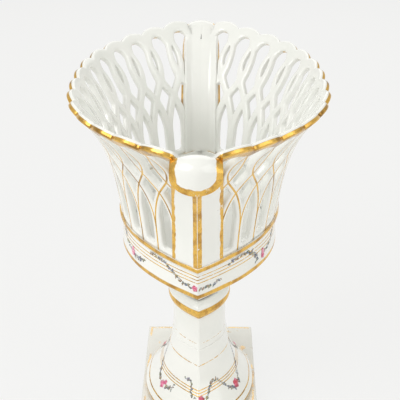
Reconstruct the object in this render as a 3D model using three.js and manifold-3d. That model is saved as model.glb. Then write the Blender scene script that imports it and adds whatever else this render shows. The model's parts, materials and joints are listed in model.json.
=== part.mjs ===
// Footed fruit basket in old white porcelain: a pierced, flared bowl of pointed-oval plan,
// bolted through its floor to a hollow foot on an oblong plinth.
//
// Millimetres, +Z up, the long axis along Y, the origin in the middle under the plinth.
// The bowl and the foot were each built up in the clay from moulded sections, and every
// section is a mesh of its own here. Level seams meet face to face, upright seams keep a gap
// where the slip that joined them lies.

import * as THREE from 'three';
import { mergeVertices } from 'three/addons/utils/BufferGeometryUtils.js';
import Module from 'manifold-3d';

const wasm = await Module();
wasm.setup();

// Driving dimensions: heights

const plinthHeight = 14;
const bellHeight = 52;
const stemHeight = 27;
const collarHeight = 13;
const jointFelt = 1.2;
const underbodyHeight = 43.3;
const bandHeight = 25;
const wallHeight = 87.5;

// Driving dimensions: plans, each a half-width, a half-length and a fullness of the side

const rimPlan = { a: 85, b: 147.5, n: 2.67 };
const wallFootPlan = { a: 56, b: 99.7, n: 2.22 };
const bandTopMargin = { x: 1, y: 1.3 };
const bandBottomPlan = { a: 54.3, b: 96.3, n: 2.5 };
const neckPlan = { a: 15, b: 26, n: 2.3 };
const neckFootPlan = { a: 18, b: 30.5, n: 2.3 };
const floorPlan = { a: 16, b: 32, n: 2.3 };
const collarPlan = { a: 23.4, b: 38, n: 2.3 };
const stemPlan = { a: 20, b: 33.5, n: 2.3 };
const bellPlan = { a: 42.5, b: 68, n: 2.32 };
const plinthMargin = { x: 2.5, y: 3 };

// Driving dimensions: thicknesses, seams and the pierced pattern

const wallThickness = 4.6;
const bandThickness = 7;
const floorStep = 7;
const floorDip = 6;
const footThickness = 5.5;
const stemCrown = 6;
const pilasterThickness = 6;
const seamGap = 0.6;
const pilasterArcAtFoot = 20.5;
const pilasterArcAtRim = 16.7;
const periods = 14;
const scallopRise = 2.6;
const rimRiseAtEnds = 3.7;

// Driving dimensions: the bolt that holds the bowl on its foot

const boltShank = 3;
const boltHole = 4.2;
const boltClearance = 0.3;
const boltHeadRadius = 8;
const boltHeadHeight = 4;
const washerThickness = 1.5;
const washerRadius = 12;
const feltThickness = 1.5;
const nutAcrossFlats = 13;
const nutHeight = 5.5;
const boltPastNut = 4;

// Levels that follow from the heights

const bellFoot = plinthHeight;
const stemFoot = bellFoot + bellHeight;
const collarFoot = stemFoot + stemHeight;
const collarTop = collarFoot + collarHeight;
const neckFoot = collarTop + jointFelt;
const bandFoot = neckFoot + underbodyHeight;
const bandTop = bandFoot + bandHeight;
const rimLevel = bandTop + wallHeight;

// Facets: steps along one side of a plan, and up the seam beside a corner

const sideSteps = 20;
const seamSteps = 8;

// Plans

// Half-width of a pointed-oval plan at a distance y from the middle.
function halfWidth(plan, y) {
  return plan.a * (1 - Math.pow(Math.abs(y / plan.b), plan.n));
}

// Points of one side of a plan with the running length from the front corner.
function sideTable(plan) {
  const count = 400;
  const table = [];
  let length = 0;
  for (let i = 0; i <= count; i += 1) {
    const y = plan.b * ((2 * i) / count - 1);
    const x = halfWidth(plan, y);
    if (i > 0) {
      const last = table[i - 1];
      length += Math.hypot(x - last.x, y - last.y);
    }
    table.push({ x, y, length });
  }
  return table;
}

// The point of a side at a running length from the front corner.
function pointAt(table, length) {
  let high = table.findIndex((entry) => entry.length >= length);
  if (high < 0) high = table.length - 1;
  high = Math.max(high, 1);
  const before = table[high - 1];
  const after = table[high];
  const t = (length - before.length) / (after.length - before.length);
  return new THREE.Vector2(
    THREE.MathUtils.lerp(before.x, after.x, t),
    THREE.MathUtils.lerp(before.y, after.y, t),
  );
}

// Closed ring of points round a plan at one height, from the front corner round by +X.
function planRing(plan, z) {
  const ring = [];
  for (let i = 0; i < sideSteps; i += 1) {
    const y = plan.b * ((2 * i) / sideSteps - 1);
    ring.push(new THREE.Vector3(halfWidth(plan, y), y, z));
  }
  for (let i = 0; i < sideSteps; i += 1) {
    const y = plan.b * (1 - (2 * i) / sideSteps);
    ring.push(new THREE.Vector3(-halfWidth(plan, y), y, z));
  }
  return ring;
}

// Round ring with as many points as planRing, in the same order.
function roundRing(radius, z) {
  const ring = [];
  for (let i = 0; i < 2 * sideSteps; i += 1) {
    const angle = (Math.PI * i) / sideSteps - Math.PI / 2;
    ring.push(new THREE.Vector3(radius * Math.cos(angle), radius * Math.sin(angle), z));
  }
  return ring;
}

// A plan made wider at the sides and longer at the corners.
function widened(plan, sides, corners) {
  return { a: plan.a + sides, b: plan.b + corners, n: plan.n };
}

// A plan drawn in by the wall's thickness. A corner moves further than a side does.
function inset(plan, thickness) {
  return widened(plan, -thickness, -thickness * Math.SQRT2);
}

// A plan between two others.
function mixPlans(first, second, t) {
  return {
    a: THREE.MathUtils.lerp(first.a, second.a, t),
    b: THREE.MathUtils.lerp(first.b, second.b, t),
    n: THREE.MathUtils.lerp(first.n, second.n, t),
  };
}

// Rings of a moulding between two plans and heights. The shape gives the share of the way
// that the plan and the height have gone at each t from 0 to 1.
function moulding(fromPlan, fromZ, toPlan, toZ, shape, steps) {
  const rings = [];
  for (let i = 0; i <= steps; i += 1) {
    const { out, up } = shape(i / steps);
    rings.push(planRing(mixPlans(fromPlan, toPlan, out), THREE.MathUtils.lerp(fromZ, toZ, up)));
  }
  return rings;
}

const quarter = Math.PI / 2;
const straight = (t) => ({ out: t, up: t });
const dished = (t) => ({ out: t, up: (1 - Math.cos(Math.PI * t)) / 2 });
const roundOutFirst = (t) => ({ out: Math.sin(quarter * t), up: 1 - Math.cos(quarter * t) });
const roundUpFirst = (t) => ({ out: 1 - Math.cos(quarter * t), up: Math.sin(quarter * t) });

// Solids

// Geometry from points and index triples, with its normals.
function geometryOf(points, triangles) {
  const geometry = new THREE.BufferGeometry();
  const positions = points.flatMap((p) => [p.x, p.y, p.z]);
  geometry.setAttribute('position', new THREE.Float32BufferAttribute(positions, 3));
  geometry.setIndex(triangles);
  geometry.computeVertexNormals();
  return geometry;
}

// Ring-shaped solid: rings that follow a closed profile, the last one joined to the first.
// The profile runs up the outside and down the inside.
function ringSolid(rings) {
  const count = rings[0].length;
  const triangles = [];
  rings.forEach((ring, r) => {
    const next = ((r + 1) % rings.length) * count;
    for (let i = 0; i < count; i += 1) {
      const j = (i + 1) % count;
      triangles.push(r * count + i, r * count + j, next + j);
      triangles.push(r * count + i, next + j, next + i);
    }
  });
  return geometryOf(rings.flat(), triangles);
}

// Sheet with a thickness: two grids of points, row by row, joined round all four edges.
function sheetSolid(outer, inner) {
  const rows = outer.length;
  const columns = outer[0].length;
  const offset = rows * columns;
  const triangles = [];
  const face = (a, b, c, d) => triangles.push(a, b, c, a, c, d);
  const at = (r, c) => r * columns + c;
  for (let r = 0; r < rows - 1; r += 1) {
    for (let c = 0; c < columns - 1; c += 1) {
      face(at(r, c), at(r, c + 1), at(r + 1, c + 1), at(r + 1, c));
      face(offset + at(r, c), offset + at(r + 1, c), offset + at(r + 1, c + 1), offset + at(r, c + 1));
    }
  }
  for (let c = 0; c < columns - 1; c += 1) {
    face(offset + at(0, c), offset + at(0, c + 1), at(0, c + 1), at(0, c));
    face(at(rows - 1, c), at(rows - 1, c + 1), offset + at(rows - 1, c + 1), offset + at(rows - 1, c));
  }
  for (let r = 0; r < rows - 1; r += 1) {
    face(offset + at(r, 0), at(r, 0), at(r + 1, 0), offset + at(r + 1, 0));
    const c = columns - 1;
    face(at(r, c), offset + at(r, c), offset + at(r + 1, c), at(r + 1, c));
  }
  return geometryOf([...outer.flat(), ...inner.flat()], triangles);
}

// The same shape as a solid that can be cut.
function solidOf(geometry) {
  const bare = geometry.clone();
  bare.deleteAttribute('normal');
  bare.deleteAttribute('uv');
  const merged = mergeVertices(bare, 1e-4);
  return new wasm.Manifold(new wasm.Mesh({
    numProp: 3,
    vertProperties: new Float32Array(merged.attributes.position.array),
    triVerts: new Uint32Array(merged.index.array),
  }));
}

// A cut solid back as a geometry.
function geometryFrom(solid) {
  const mesh = solid.getMesh();
  const geometry = new THREE.BufferGeometry();
  geometry.setAttribute('position', new THREE.BufferAttribute(mesh.vertProperties, 3));
  geometry.setIndex(new THREE.BufferAttribute(mesh.triVerts, 1));
  geometry.computeVertexNormals();
  return geometry;
}

// Mirror image in the plane y = 0 or x = 0, with its faces turned out again.
function mirrored(geometry, axis) {
  const copy = geometry.clone();
  const sign = new THREE.Vector3(axis === 'x' ? -1 : 1, axis === 'y' ? -1 : 1, 1);
  copy.scale(sign.x, sign.y, sign.z);
  const index = Array.from(copy.index.array);
  for (let i = 0; i < index.length; i += 3) {
    [index[i + 1], index[i + 2]] = [index[i + 2], index[i + 1]];
  }
  copy.setIndex(index);
  copy.computeVertexNormals();
  return copy;
}

// Materials

function porcelain(color) {
  return new THREE.MeshStandardMaterial({ color, roughness: 0.12, metalness: 0 });
}

const glazedWhite = porcelain(0xf3f2ec);
const glazedShade = porcelain(0xe6e4da);
const giltEdge = new THREE.MeshStandardMaterial({ color: 0xd6a13a, roughness: 0.3, metalness: 0.9 });
const brass = new THREE.MeshStandardMaterial({ color: 0xa98a4d, roughness: 0.45, metalness: 0.9 });
const iron = new THREE.MeshStandardMaterial({ color: 0x5c5650, roughness: 0.6, metalness: 0.8 });
const felt = new THREE.MeshStandardMaterial({ color: 0x8a7b62, roughness: 0.95, metalness: 0 });

// The flared wall as a surface

const footTable = sideTable(wallFootPlan);
const rimTable = sideTable(rimPlan);
const footLength = footTable[footTable.length - 1].length;
const rimLength = rimTable[rimTable.length - 1].length;

// How far the wall has gone from its foot plan to its rim plan: steep below, flared above.
// The corners start out steeper than the sides do.
const flareStart = { across: 0.42, along: 0.08 };
function flare(start, v) {
  return start * v + (1 - start) * v ** 3;
}

function flareSlope(start, v) {
  return start + 3 * (1 - start) * v ** 2;
}

// A point of the wall's outer face on the +X side. The running lengths from the front corner
// are given at the foot and at the rim, and v is the share of the wall's height.
function wallFace(atFoot, atRim, v) {
  const low = pointAt(footTable, atFoot);
  const high = pointAt(rimTable, atRim);
  const rise = rimRiseAtEnds * Math.abs(high.y / rimPlan.b) ** 5 * Math.max(v, 0) ** 4;
  return new THREE.Vector3(
    THREE.MathUtils.lerp(low.x, high.x, flare(flareStart.across, v)),
    THREE.MathUtils.lerp(low.y, high.y, flare(flareStart.along, v)),
    bandTop + wallHeight * v + rise,
  );
}

// Outward direction of the plan at a running length, level.
function outward(atFoot, atRim, v) {
  const step = 1;
  const before = wallFace(atFoot - step, atRim - step, v);
  const after = wallFace(atFoot + step, atRim + step, v);
  return new THREE.Vector3(after.y - before.y, before.x - after.x, 0).normalize();
}

// Direction square to the wall. It is level at the foot, so that the foot sits flat.
function squareOut(level, atFoot, atRim, v) {
  const low = pointAt(footTable, atFoot);
  const high = pointAt(rimTable, atRim);
  const slope = new THREE.Vector2(
    (high.x - low.x) * flareSlope(flareStart.across, v),
    (high.y - low.y) * flareSlope(flareStart.along, v),
  );
  const lean = Math.atan(slope.length() / wallHeight);
  const share = THREE.MathUtils.smoothstep(v, 0, 0.15);
  const angle = lean * share;
  return level.clone().multiplyScalar(Math.cos(angle)).setZ(-Math.sin(angle));
}

// Side walls: a flat panel with its pattern, extruded, then bent round and flared

// Height shares: where the bars fork, where their branches cross, and where they fork again.
const lancetFoot = 0.035;
const forkLevel = 0.22;
const lowerCrossing = 0.535;
const upperCrossing = 0.67;
const slitMiddle = 0.82;
const netTop = 0.955;

// Widths in periods: half a bar, half a branch, and how far the top members spread.
const barHalf = 0.19;
const branchHalf = 0.135;
const memberHalf = 0.09;
const topSpread = 0.18;

// How far a branch has leaned from its own bar towards the crossing, at a height.
function branchLean(v) {
  const t = THREE.MathUtils.clamp((v - forkLevel) / (lowerCrossing - forkLevel), 0, 1);
  return 0.5 * t ** 1.25;
}

// How far a branch is from the upper crossing above its bar.
function crossingLean(v) {
  return (0.5 * (upperCrossing - v)) / (upperCrossing - lowerCrossing);
}

// How far a top member is from the middle of its notch.
function topLean(v) {
  const t = THREE.MathUtils.clamp((v - upperCrossing) / (slitMiddle - upperCrossing), 0, 1);
  return topSpread * Math.sin(quarter * t);
}

// Closed hole outline about a middle line, from half-widths at rising heights.
function holePoints(middle, sections) {
  const right = sections.map(([v, half]) => new THREE.Vector2(middle + half, v));
  const left = sections.map(([v, half]) => new THREE.Vector2(middle - half, v)).reverse();
  const outline = [...right, ...left];
  return outline.filter((p, i) => p.distanceTo(outline[(i + outline.length - 1) % outline.length]) > 1e-6);
}

// Height at which a rising lean reaches a value.
function levelOf(lean, value, low, high) {
  let from = low;
  let to = high;
  const rising = lean(high) > lean(low);
  for (let i = 0; i < 30; i += 1) {
    const middle = (from + to) / 2;
    if (lean(middle) < value === rising) from = middle;
    else to = middle;
  }
  return (from + to) / 2;
}

// Tall pointed arch between two bars.
function lancetSections() {
  const half = 0.5 - barHalf;
  const spring = levelOf(branchLean, barHalf - branchHalf, forkLevel, lowerCrossing);
  const tip = levelOf(branchLean, 0.5 - branchHalf, forkLevel, lowerCrossing);
  const sections = [[lancetFoot, 0.6 * half], [lancetFoot + 0.03, half]];
  const steps = 4;
  for (let i = 0; i < steps; i += 1) {
    const v = THREE.MathUtils.lerp(spring, tip, i / steps);
    sections.push([v, 0.5 - branchLean(v) - branchHalf]);
  }
  sections.push([tip, 0]);
  return sections;
}

// Kite between the two branches of a bar.
function kiteSections() {
  const foot = levelOf(branchLean, branchHalf, forkLevel, lowerCrossing);
  const tip = levelOf(crossingLean, branchHalf, lowerCrossing, upperCrossing);
  const sections = [[foot, 0]];
  const steps = 3;
  for (let i = 1; i <= steps; i += 1) {
    const v = THREE.MathUtils.lerp(foot, lowerCrossing, i / steps);
    sections.push([v, branchLean(v) - branchHalf]);
  }
  sections.push([tip, 0]);
  return sections;
}

// Large drop above a crossing, up to the rim.
function dropSections() {
  const foot = levelOf(crossingLean, 0.5 - branchHalf, lowerCrossing, upperCrossing);
  const sections = [[foot, 0], [upperCrossing, 0.5 - branchHalf]];
  const steps = 3;
  for (let i = 1; i <= steps; i += 1) {
    const v = THREE.MathUtils.lerp(upperCrossing, netTop - 0.03, i / steps);
    const member = i === steps ? memberHalf + 0.02 : THREE.MathUtils.lerp(branchHalf, memberHalf, i / steps);
    sections.push([v, 0.5 - topLean(v) - member]);
  }
  sections.push([netTop, 0.1]);
  return sections;
}

// Narrow slit under a notch of the rim.
function slitSections() {
  const foot = levelOf(topLean, memberHalf, upperCrossing, slitMiddle);
  return [[foot, 0], [slitMiddle, topSpread - memberHalf], [netTop - 0.005, 0.04]];
}

// Points up the seam beside a pilaster. They bow in a little, so that no triangle lies along
// the seam, and bending draws them straight.
const seamBow = 0.02;
function seamEdge() {
  const points = [];
  for (let i = 1; i < seamSteps; i += 1) {
    points.push(new THREE.Vector2(seamBow * Math.sin((Math.PI * i) / seamSteps), i / seamSteps));
  }
  return points;
}

// The side of a cell on a bar's middle line, rising: half the kite and half the slit are cut
// into it. Inward is 1 on the left side of a cell and -1 on the right.
function barEdge(x, inward) {
  const cut = [...kiteSections(), ...slitSections()];
  const points = cut.map(([v, half]) => new THREE.Vector2(x + inward * half, v));
  points.push(new THREE.Vector2(x, cut[cut.length - 1][0]));
  return points;
}

// Half of a kite beside a pilaster, which covers what lies within a margin of the seam.
function halfKite(margin) {
  const sections = kiteSections();
  const outline = [];
  sections.forEach(([v, half], i) => {
    const [lastV, lastHalf] = i > 0 ? sections[i - 1] : [v, half];
    if (half > margin !== lastHalf > margin) {
      const t = (margin - lastHalf) / (half - lastHalf);
      outline.push(new THREE.Vector2(margin, THREE.MathUtils.lerp(lastV, v, t)));
    }
    if (half > margin) outline.push(new THREE.Vector2(half, v));
  });
  return outline;
}

// One period of the front half of the flat panel: its outline and its holes. One unit of x is
// one period, one unit of y is the wall's height.
function cell(i) {
  const crown = scallopRise / wallHeight;
  const kiteMargin = 0.1;
  const right = barEdge(i + 1, -1);
  const left = i === 0 ? seamEdge() : barEdge(i, 1);
  const scallop = [0.8, 0.5, 0.2].map((t) => new THREE.Vector2(i + t, 1 + crown * Math.sin(Math.PI * t)));
  const outline = [
    new THREE.Vector2(i, 0),
    new THREE.Vector2(i + 1, 0),
    ...right,
    new THREE.Vector2(i + 1, 1),
    ...scallop,
    new THREE.Vector2(i, 1),
    ...left.reverse(),
  ];
  const holes = [holePoints(i + 0.5, lancetSections()), holePoints(i + 0.5, dropSections())];
  if (i === 0) holes.push(halfKite(kiteMargin));
  return { outline, holes };
}

// The whole flat panel: its points, each once, and its triangles, cell by cell, so that no
// triangle is wider than a period. The back half is the mirror image of the front half.
function flatPanel() {
  const points = [];
  const known = new Map();
  const indexOf = (p) => {
    const key = `${p.x.toFixed(6)},${p.y.toFixed(6)}`;
    if (!known.has(key)) {
      known.set(key, points.length);
      points.push(p);
    }
    return known.get(key);
  };
  const opposite = (p) => new THREE.Vector2(periods - p.x, p.y);
  const triangles = [];
  for (let i = 0; i < periods / 2; i += 1) {
    const { outline, holes } = cell(i);
    const all = [outline, ...holes].flat();
    for (const corners of THREE.ShapeUtils.triangulateShape(outline, holes)) {
      const [a, b, c] = corners.map((k) => all[k]);
      const turn = (b.x - a.x) * (c.y - a.y) - (b.y - a.y) * (c.x - a.x);
      const facing = turn > 0 ? [a, b, c] : [a, c, b];
      triangles.push(facing.map(indexOf), facing.toReversed().map(opposite).map(indexOf));
    }
  }
  return { points, triangles };
}

// Solid of a flat panel: its outer face, its inner face and a wall along every free edge.
function panelSolid({ points, triangles }, outerPoint, innerPoint) {
  const count = points.length;
  const edges = new Set(triangles.flatMap(([a, b, c]) => [`${a},${b}`, `${b},${c}`, `${c},${a}`]));
  const faces = [];
  for (const [a, b, c] of triangles) {
    faces.push(a, b, c, count + a, count + c, count + b);
    for (const [from, to] of [[a, b], [b, c], [c, a]]) {
      if (!edges.has(`${to},${from}`)) faces.push(from, count + from, count + to, from, count + to, to);
    }
  }
  return geometryOf([...points.map(outerPoint), ...points.map(innerPoint)], faces);
}

// The bars stand a little further apart beside the corners than half-way between them.
const footSpread = 0.03;
function shareAtFoot(u) {
  return u + footSpread * Math.sin(2 * Math.PI * u);
}

// One side wall on the +X side: the panel bent to the plan and flared.
function sideWall() {
  const seam = seamGap / 2;
  const footArc = pilasterArcAtFoot + seam;
  const rimArc = pilasterArcAtRim + seam;
  const place = (depth) => (p) => {
    const u = THREE.MathUtils.clamp((p.x - seamBow) / (periods - 2 * seamBow), 0, 1);
    const atFoot = footArc + shareAtFoot(u) * (footLength - 2 * footArc);
    const atRim = rimArc + u * (rimLength - 2 * rimArc);
    const square = squareOut(outward(atFoot, atRim, p.y), atFoot, atRim, p.y);
    return wallFace(atFoot, atRim, p.y).addScaledVector(square, -depth);
  };
  return panelSolid(flatPanel(), place(0), place(wallThickness));
}

// Corner pilaster: two flat faces that meet at the corner, rolled over outward at the top

const rollRadius = 7.5;
const lobeThickness = 4.5;
const lobeDrop = 10.2;
const lobeCrest = 6;
const crestFall = 4.5;

// The front corner piece, from its foot on the band to the edge of its lobe.
function cornerPilaster() {
  const outer = [];
  const inner = [];
  const columns = [-1, -0.75, -0.5, -0.25, 0, 0.25, 0.5, 0.75, 1];
  const seam = seamGap / 2;

  // A point of the corner and its outward direction, k from -1 at one seam to 1 at the other.
  const corner = (k, v) => {
    const atFoot = Math.abs(k) * (pilasterArcAtFoot - seam);
    const atRim = Math.abs(k) * (pilasterArcAtRim - seam);
    const point = wallFace(atFoot, atRim, v);
    const level = outward(Math.max(atFoot, 2), Math.max(atRim, 2), v);
    if (k < 0) {
      point.x *= -1;
      level.x *= -1;
    }
    return { point, level, atFoot, atRim };
  };

  // The rows stand level with the points of the walls' seams, up to where the roll starts.
  for (let i = 0; i < seamSteps; i += 1) {
    const v = i / seamSteps;
    outer.push(columns.map((k) => corner(k, v).point));
    inner.push(columns.map((k) => {
      const { point, level, atFoot, atRim } = corner(k, v);
      const square = squareOut(level, atFoot, atRim, v);
      if (k === 0) {
        const along = new THREE.Vector3(0, -Math.SQRT2 * Math.hypot(square.x, square.y), square.z);
        return point.clone().addScaledVector(along, -pilasterThickness);
      }
      return point.clone().addScaledVector(square, -pilasterThickness);
    }));
  }

  // The roll: an arc about a level line, then a short drop, narrowing to a round end.
  const startAngle = -0.9;
  const rollSteps = 5;
  const dropSteps = 3;
  const stations = [];
  for (let i = 0; i <= rollSteps; i += 1) {
    const angle = THREE.MathUtils.lerp(startAngle, quarter, i / rollSteps);
    stations.push({ angle, fall: 0, width: angle < 0 ? 1 : 1 - 0.05 * Math.sin(angle) });
  }
  for (let i = 1; i <= dropSteps; i += 1) {
    const t = (0.93 * i) / dropSteps;
    stations.push({ angle: quarter, fall: lobeDrop * t, width: 0.95 * (1 - t ** 2.2) ** (1 / 2.2) });
  }
  const rollCentre = { out: -1, z: rimLevel + lobeCrest - rollRadius };
  const seamSide = corner(1, 1).level;
  const seamTurn = Math.atan2(seamSide.x, -seamSide.y);
  const section = ({ angle, fall, width }, radius) => columns.map((share) => {
    const k = share * width;
    const { point } = corner(k, 1);
    const turn = seamTurn * THREE.MathUtils.clamp(1.2 * share, -1, 1);
    const out = rollCentre.out + radius * Math.sin(angle);
    return new THREE.Vector3(
      point.x + out * Math.sin(turn),
      point.y - out * Math.cos(turn),
      rollCentre.z + radius * Math.cos(angle) - fall - crestFall * k * k,
    );
  });
  for (const station of stations) {
    inner.push(section(station, rollRadius));
    outer.push(section(station, rollRadius - lobeThickness));
  }
  return sheetSolid(outer, inner);
}

// Gallery band under the wall: a gentle ovolo between two fillets

function galleryBand() {
  const filletHeight = 3;
  const bandTopPlan = widened(wallFootPlan, bandTopMargin.x, bandTopMargin.y);
  const hollowPlan = widened(mixPlans(wallFootPlan, bandBottomPlan, 0.5), -1, -1.5);
  const swellPlan = widened(bandBottomPlan, 1, 1);
  const hollowLevel = bandTop - 2 * filletHeight;
  const rings = [
    planRing(bandBottomPlan, bandFoot),
    planRing(swellPlan, bandFoot + filletHeight / 2),
    ...moulding(swellPlan, bandFoot + filletHeight, hollowPlan, hollowLevel, straight, 4),
    planRing(bandTopPlan, bandTop - filletHeight),
    planRing(bandTopPlan, bandTop),
    planRing(inset(wallFootPlan, bandThickness), bandTop),
    planRing(inset(bandBottomPlan, bandThickness), bandFoot),
  ];
  return ringSolid(rings);
}

// Underbody: the closed bottom of the bowl, hollowed underneath to a slim neck. Its floor
// stands up inside the band.

function underbody() {
  const neckLevel = neckFoot + 7;
  const floorLevel = bandFoot - floorDip;
  const stepPlan = inset(bandBottomPlan, bandThickness + seamGap);
  const rings = [
    roundRing(boltHole, neckFoot),
    planRing(neckFootPlan, neckFoot),
    planRing(neckFootPlan, neckFoot + 2),
    ...moulding(neckPlan, neckLevel, bandBottomPlan, bandFoot, roundUpFirst, 9),
    planRing(stepPlan, bandFoot),
    ...moulding(stepPlan, bandFoot + floorStep, floorPlan, floorLevel, dished, 5),
    roundRing(boltHole, floorLevel),
  ];
  return { geometry: ringSolid(rings), floorLevel };
}

// Foot

// Gilded collar: a round moulding that the bowl's neck stands on.
function footCollar() {
  const swell = [];
  const radius = collarHeight / 2;
  const middle = collarFoot + radius;
  for (let i = 0; i <= 6; i += 1) {
    const angle = THREE.MathUtils.lerp(-quarter, quarter, i / 6);
    const out = radius * (Math.cos(angle) - 1);
    swell.push(planRing(widened(collarPlan, out, out), middle + radius * Math.sin(angle)));
  }
  return ringSolid([
    roundRing(boltHole, collarFoot),
    ...swell,
    roundRing(boltHole, collarTop),
  ]);
}

const waistPlan = widened(stemPlan, 1, 2);
const crownUnderside = collarFoot - stemCrown;

// Stem: the slim pointed-oval column under the collar, closed above but for the bolt hole.
function footStem() {
  return ringSolid([
    ...moulding(waistPlan, stemFoot, stemPlan, crownUnderside, roundOutFirst, 3),
    planRing(stemPlan, collarFoot),
    roundRing(boltHole, collarFoot),
    roundRing(boltHole, crownUnderside),
    planRing(inset(stemPlan, footThickness), crownUnderside),
    planRing(inset(waistPlan, footThickness), stemFoot),
  ]);
}

// Bell: the hollow foot, flaring down to a small rolled edge.
function footBell() {
  const edgeHeight = 4;
  const toeChamfer = 1.5;
  const sweep = 1.9;
  const steps = 9;
  const sweptIn = (t) => ({ out: 1 - (1 - t) ** sweep, up: t });
  const sweptOut = (t) => ({ out: t ** sweep, up: t });
  const inner = (plan) => inset(plan, footThickness);
  return ringSolid([
    planRing(widened(bellPlan, -toeChamfer, -toeChamfer), bellFoot),
    planRing(bellPlan, bellFoot + toeChamfer),
    ...moulding(bellPlan, bellFoot + edgeHeight, waistPlan, stemFoot, sweptIn, steps),
    ...moulding(inner(waistPlan), stemFoot, inner(bellPlan), bellFoot, sweptOut, steps),
  ]);
}

// Plinth: an oblong slab, hollow below, open into the bell.
function plinth() {
  const wall = 6;
  const deck = 6;
  const ledge = 3;
  const width = 2 * (bellPlan.a + plinthMargin.x);
  const length = 2 * (bellPlan.b + plinthMargin.y);
  const slab = new THREE.BoxGeometry(width, length, plinthHeight);
  slab.translate(0, 0, plinthHeight / 2);
  const hollow = new THREE.BoxGeometry(width - 2 * wall, length - 2 * wall, 2 * (plinthHeight - deck));
  const outline = planRing(inset(bellPlan, footThickness + ledge), 0);
  const opening = new THREE.ExtrudeGeometry(new THREE.Shape(outline), {
    depth: 2 * plinthHeight,
    bevelEnabled: false,
  });
  return geometryFrom(solidOf(slab).subtract(solidOf(hollow)).subtract(solidOf(opening)));
}

// Bolt, washers, felts and nut

// Turned piece about the Z axis from a profile of [radius, height] pairs.
function turned(profile, segments = 24) {
  const points = profile.map(([r, z]) => new THREE.Vector2(r, z));
  const lathe = new THREE.LatheGeometry(points, segments);
  lathe.rotateX(quarter);
  lathe.deleteAttribute('normal');
  lathe.deleteAttribute('uv');
  const geometry = mergeVertices(lathe, 1e-4);
  geometry.computeVertexNormals();
  return geometry;
}

// Flat ring about the bolt.
function flatRing(bore, radius, low, thickness) {
  return turned([[bore, low], [radius, low], [radius, low + thickness], [bore, low + thickness], [bore, low]]);
}

const { geometry: underbodyGeometry, floorLevel } = underbody();
const upperWasherLevel = floorLevel + feltThickness;
const headLevel = upperWasherLevel + washerThickness;
const lowerWasherLevel = crownUnderside - feltThickness - washerThickness;
const nutLevel = lowerWasherLevel - nutHeight;
const boltEnd = nutLevel - boltPastNut;

function fixingBolt() {
  const rim = 1;
  const chamfer = 0.6;
  const dome = [];
  for (let i = 0; i < 4; i += 1) {
    const angle = (quarter * i) / 4;
    dome.push([boltHeadRadius * Math.cos(angle), headLevel + rim + (boltHeadHeight - rim) * Math.sin(angle)]);
  }
  return turned([
    [0, boltEnd],
    [boltShank - chamfer, boltEnd],
    [boltShank, boltEnd + chamfer],
    [boltShank, headLevel],
    [boltHeadRadius, headLevel],
    ...dome,
    [0, headLevel + boltHeadHeight],
  ]);
}

function fixingNut() {
  const hexagon = new THREE.Shape();
  const radius = nutAcrossFlats / Math.sqrt(3);
  for (let i = 0; i < 6; i += 1) {
    const angle = (Math.PI * i) / 3;
    const corner = [radius * Math.cos(angle), radius * Math.sin(angle)];
    if (i === 0) hexagon.moveTo(...corner);
    else hexagon.lineTo(...corner);
  }
  const bore = new THREE.Path();
  bore.absarc(0, 0, boltShank + boltClearance, 0, 2 * Math.PI, true);
  hexagon.holes.push(bore);
  const nut = new THREE.ExtrudeGeometry(hexagon, { depth: nutHeight, bevelEnabled: false, curveSegments: 12 });
  nut.deleteAttribute('normal');
  nut.deleteAttribute('uv');
  const geometry = mergeVertices(nut, 1e-4);
  geometry.translate(0, 0, nutLevel);
  geometry.computeVertexNormals();
  return geometry;
}

// Felt between the bowl's neck and the collar.
function neckFelt() {
  const plan = inset(neckFootPlan, 1);
  return ringSolid([
    roundRing(boltHole, collarTop),
    planRing(plan, collarTop),
    planRing(plan, neckFoot),
    roundRing(boltHole, neckFoot),
  ]);
}

// Assembly

function piece(name, geometry, material) {
  const mesh = new THREE.Mesh(geometry, material);
  mesh.name = name;
  return mesh;
}

const rightWall = sideWall();
const frontCorner = cornerPilaster();

const bowl = new THREE.Group();
bowl.add(
  piece('wall_right', rightWall, glazedWhite),
  piece('wall_left', mirrored(rightWall, 'x'), glazedWhite),
  piece('corner_front', frontCorner, glazedWhite),
  piece('corner_back', mirrored(frontCorner, 'y'), glazedWhite),
  piece('gallery_band', galleryBand(), glazedWhite),
  piece('underbody', underbodyGeometry, glazedWhite),
);

const foot = new THREE.Group();
foot.add(
  piece('foot_collar', footCollar(), giltEdge),
  piece('foot_stem', footStem(), glazedWhite),
  piece('foot_bell', footBell(), glazedWhite),
  piece('plinth', plinth(), glazedShade),
);

const washerBore = boltShank + boltClearance;
const fixing = new THREE.Group();
fixing.add(
  piece('fixing_bolt', fixingBolt(), brass),
  piece('bowl_felt', flatRing(washerBore, washerRadius, floorLevel, feltThickness), felt),
  piece('bowl_washer', flatRing(washerBore, washerRadius, upperWasherLevel, washerThickness), brass),
  piece('neck_felt', neckFelt(), felt),
  piece('foot_felt', flatRing(washerBore, washerRadius - 1, crownUnderside - feltThickness, feltThickness), felt),
  piece('foot_washer', flatRing(washerBore, washerRadius - 1, lowerWasherLevel, washerThickness), iron),
  piece('fixing_nut', fixingNut(), iron),
);

const basket = new THREE.Group();
basket.add(bowl, foot, fixing);

export default basket;
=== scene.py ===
"""Looks of a footed fruit basket in old white porcelain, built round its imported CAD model.

Everything is in metres in the CAD's own frame: +Z up, the long axis along Y, and the camera
before the corner on the -Y side. The sizes repeat those of the CAD part. The pierced walls and
the painted garlands come from Geometry Nodes trees that bend flat work round the plans of the
bowl and the foot; the mouldings are lofted; every finish is a procedural material.
"""

from __future__ import annotations

import json
import logging
import math
from dataclasses import dataclass, field
from enum import Enum
from typing import Callable, Iterable, Optional, Sequence, Union

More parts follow.
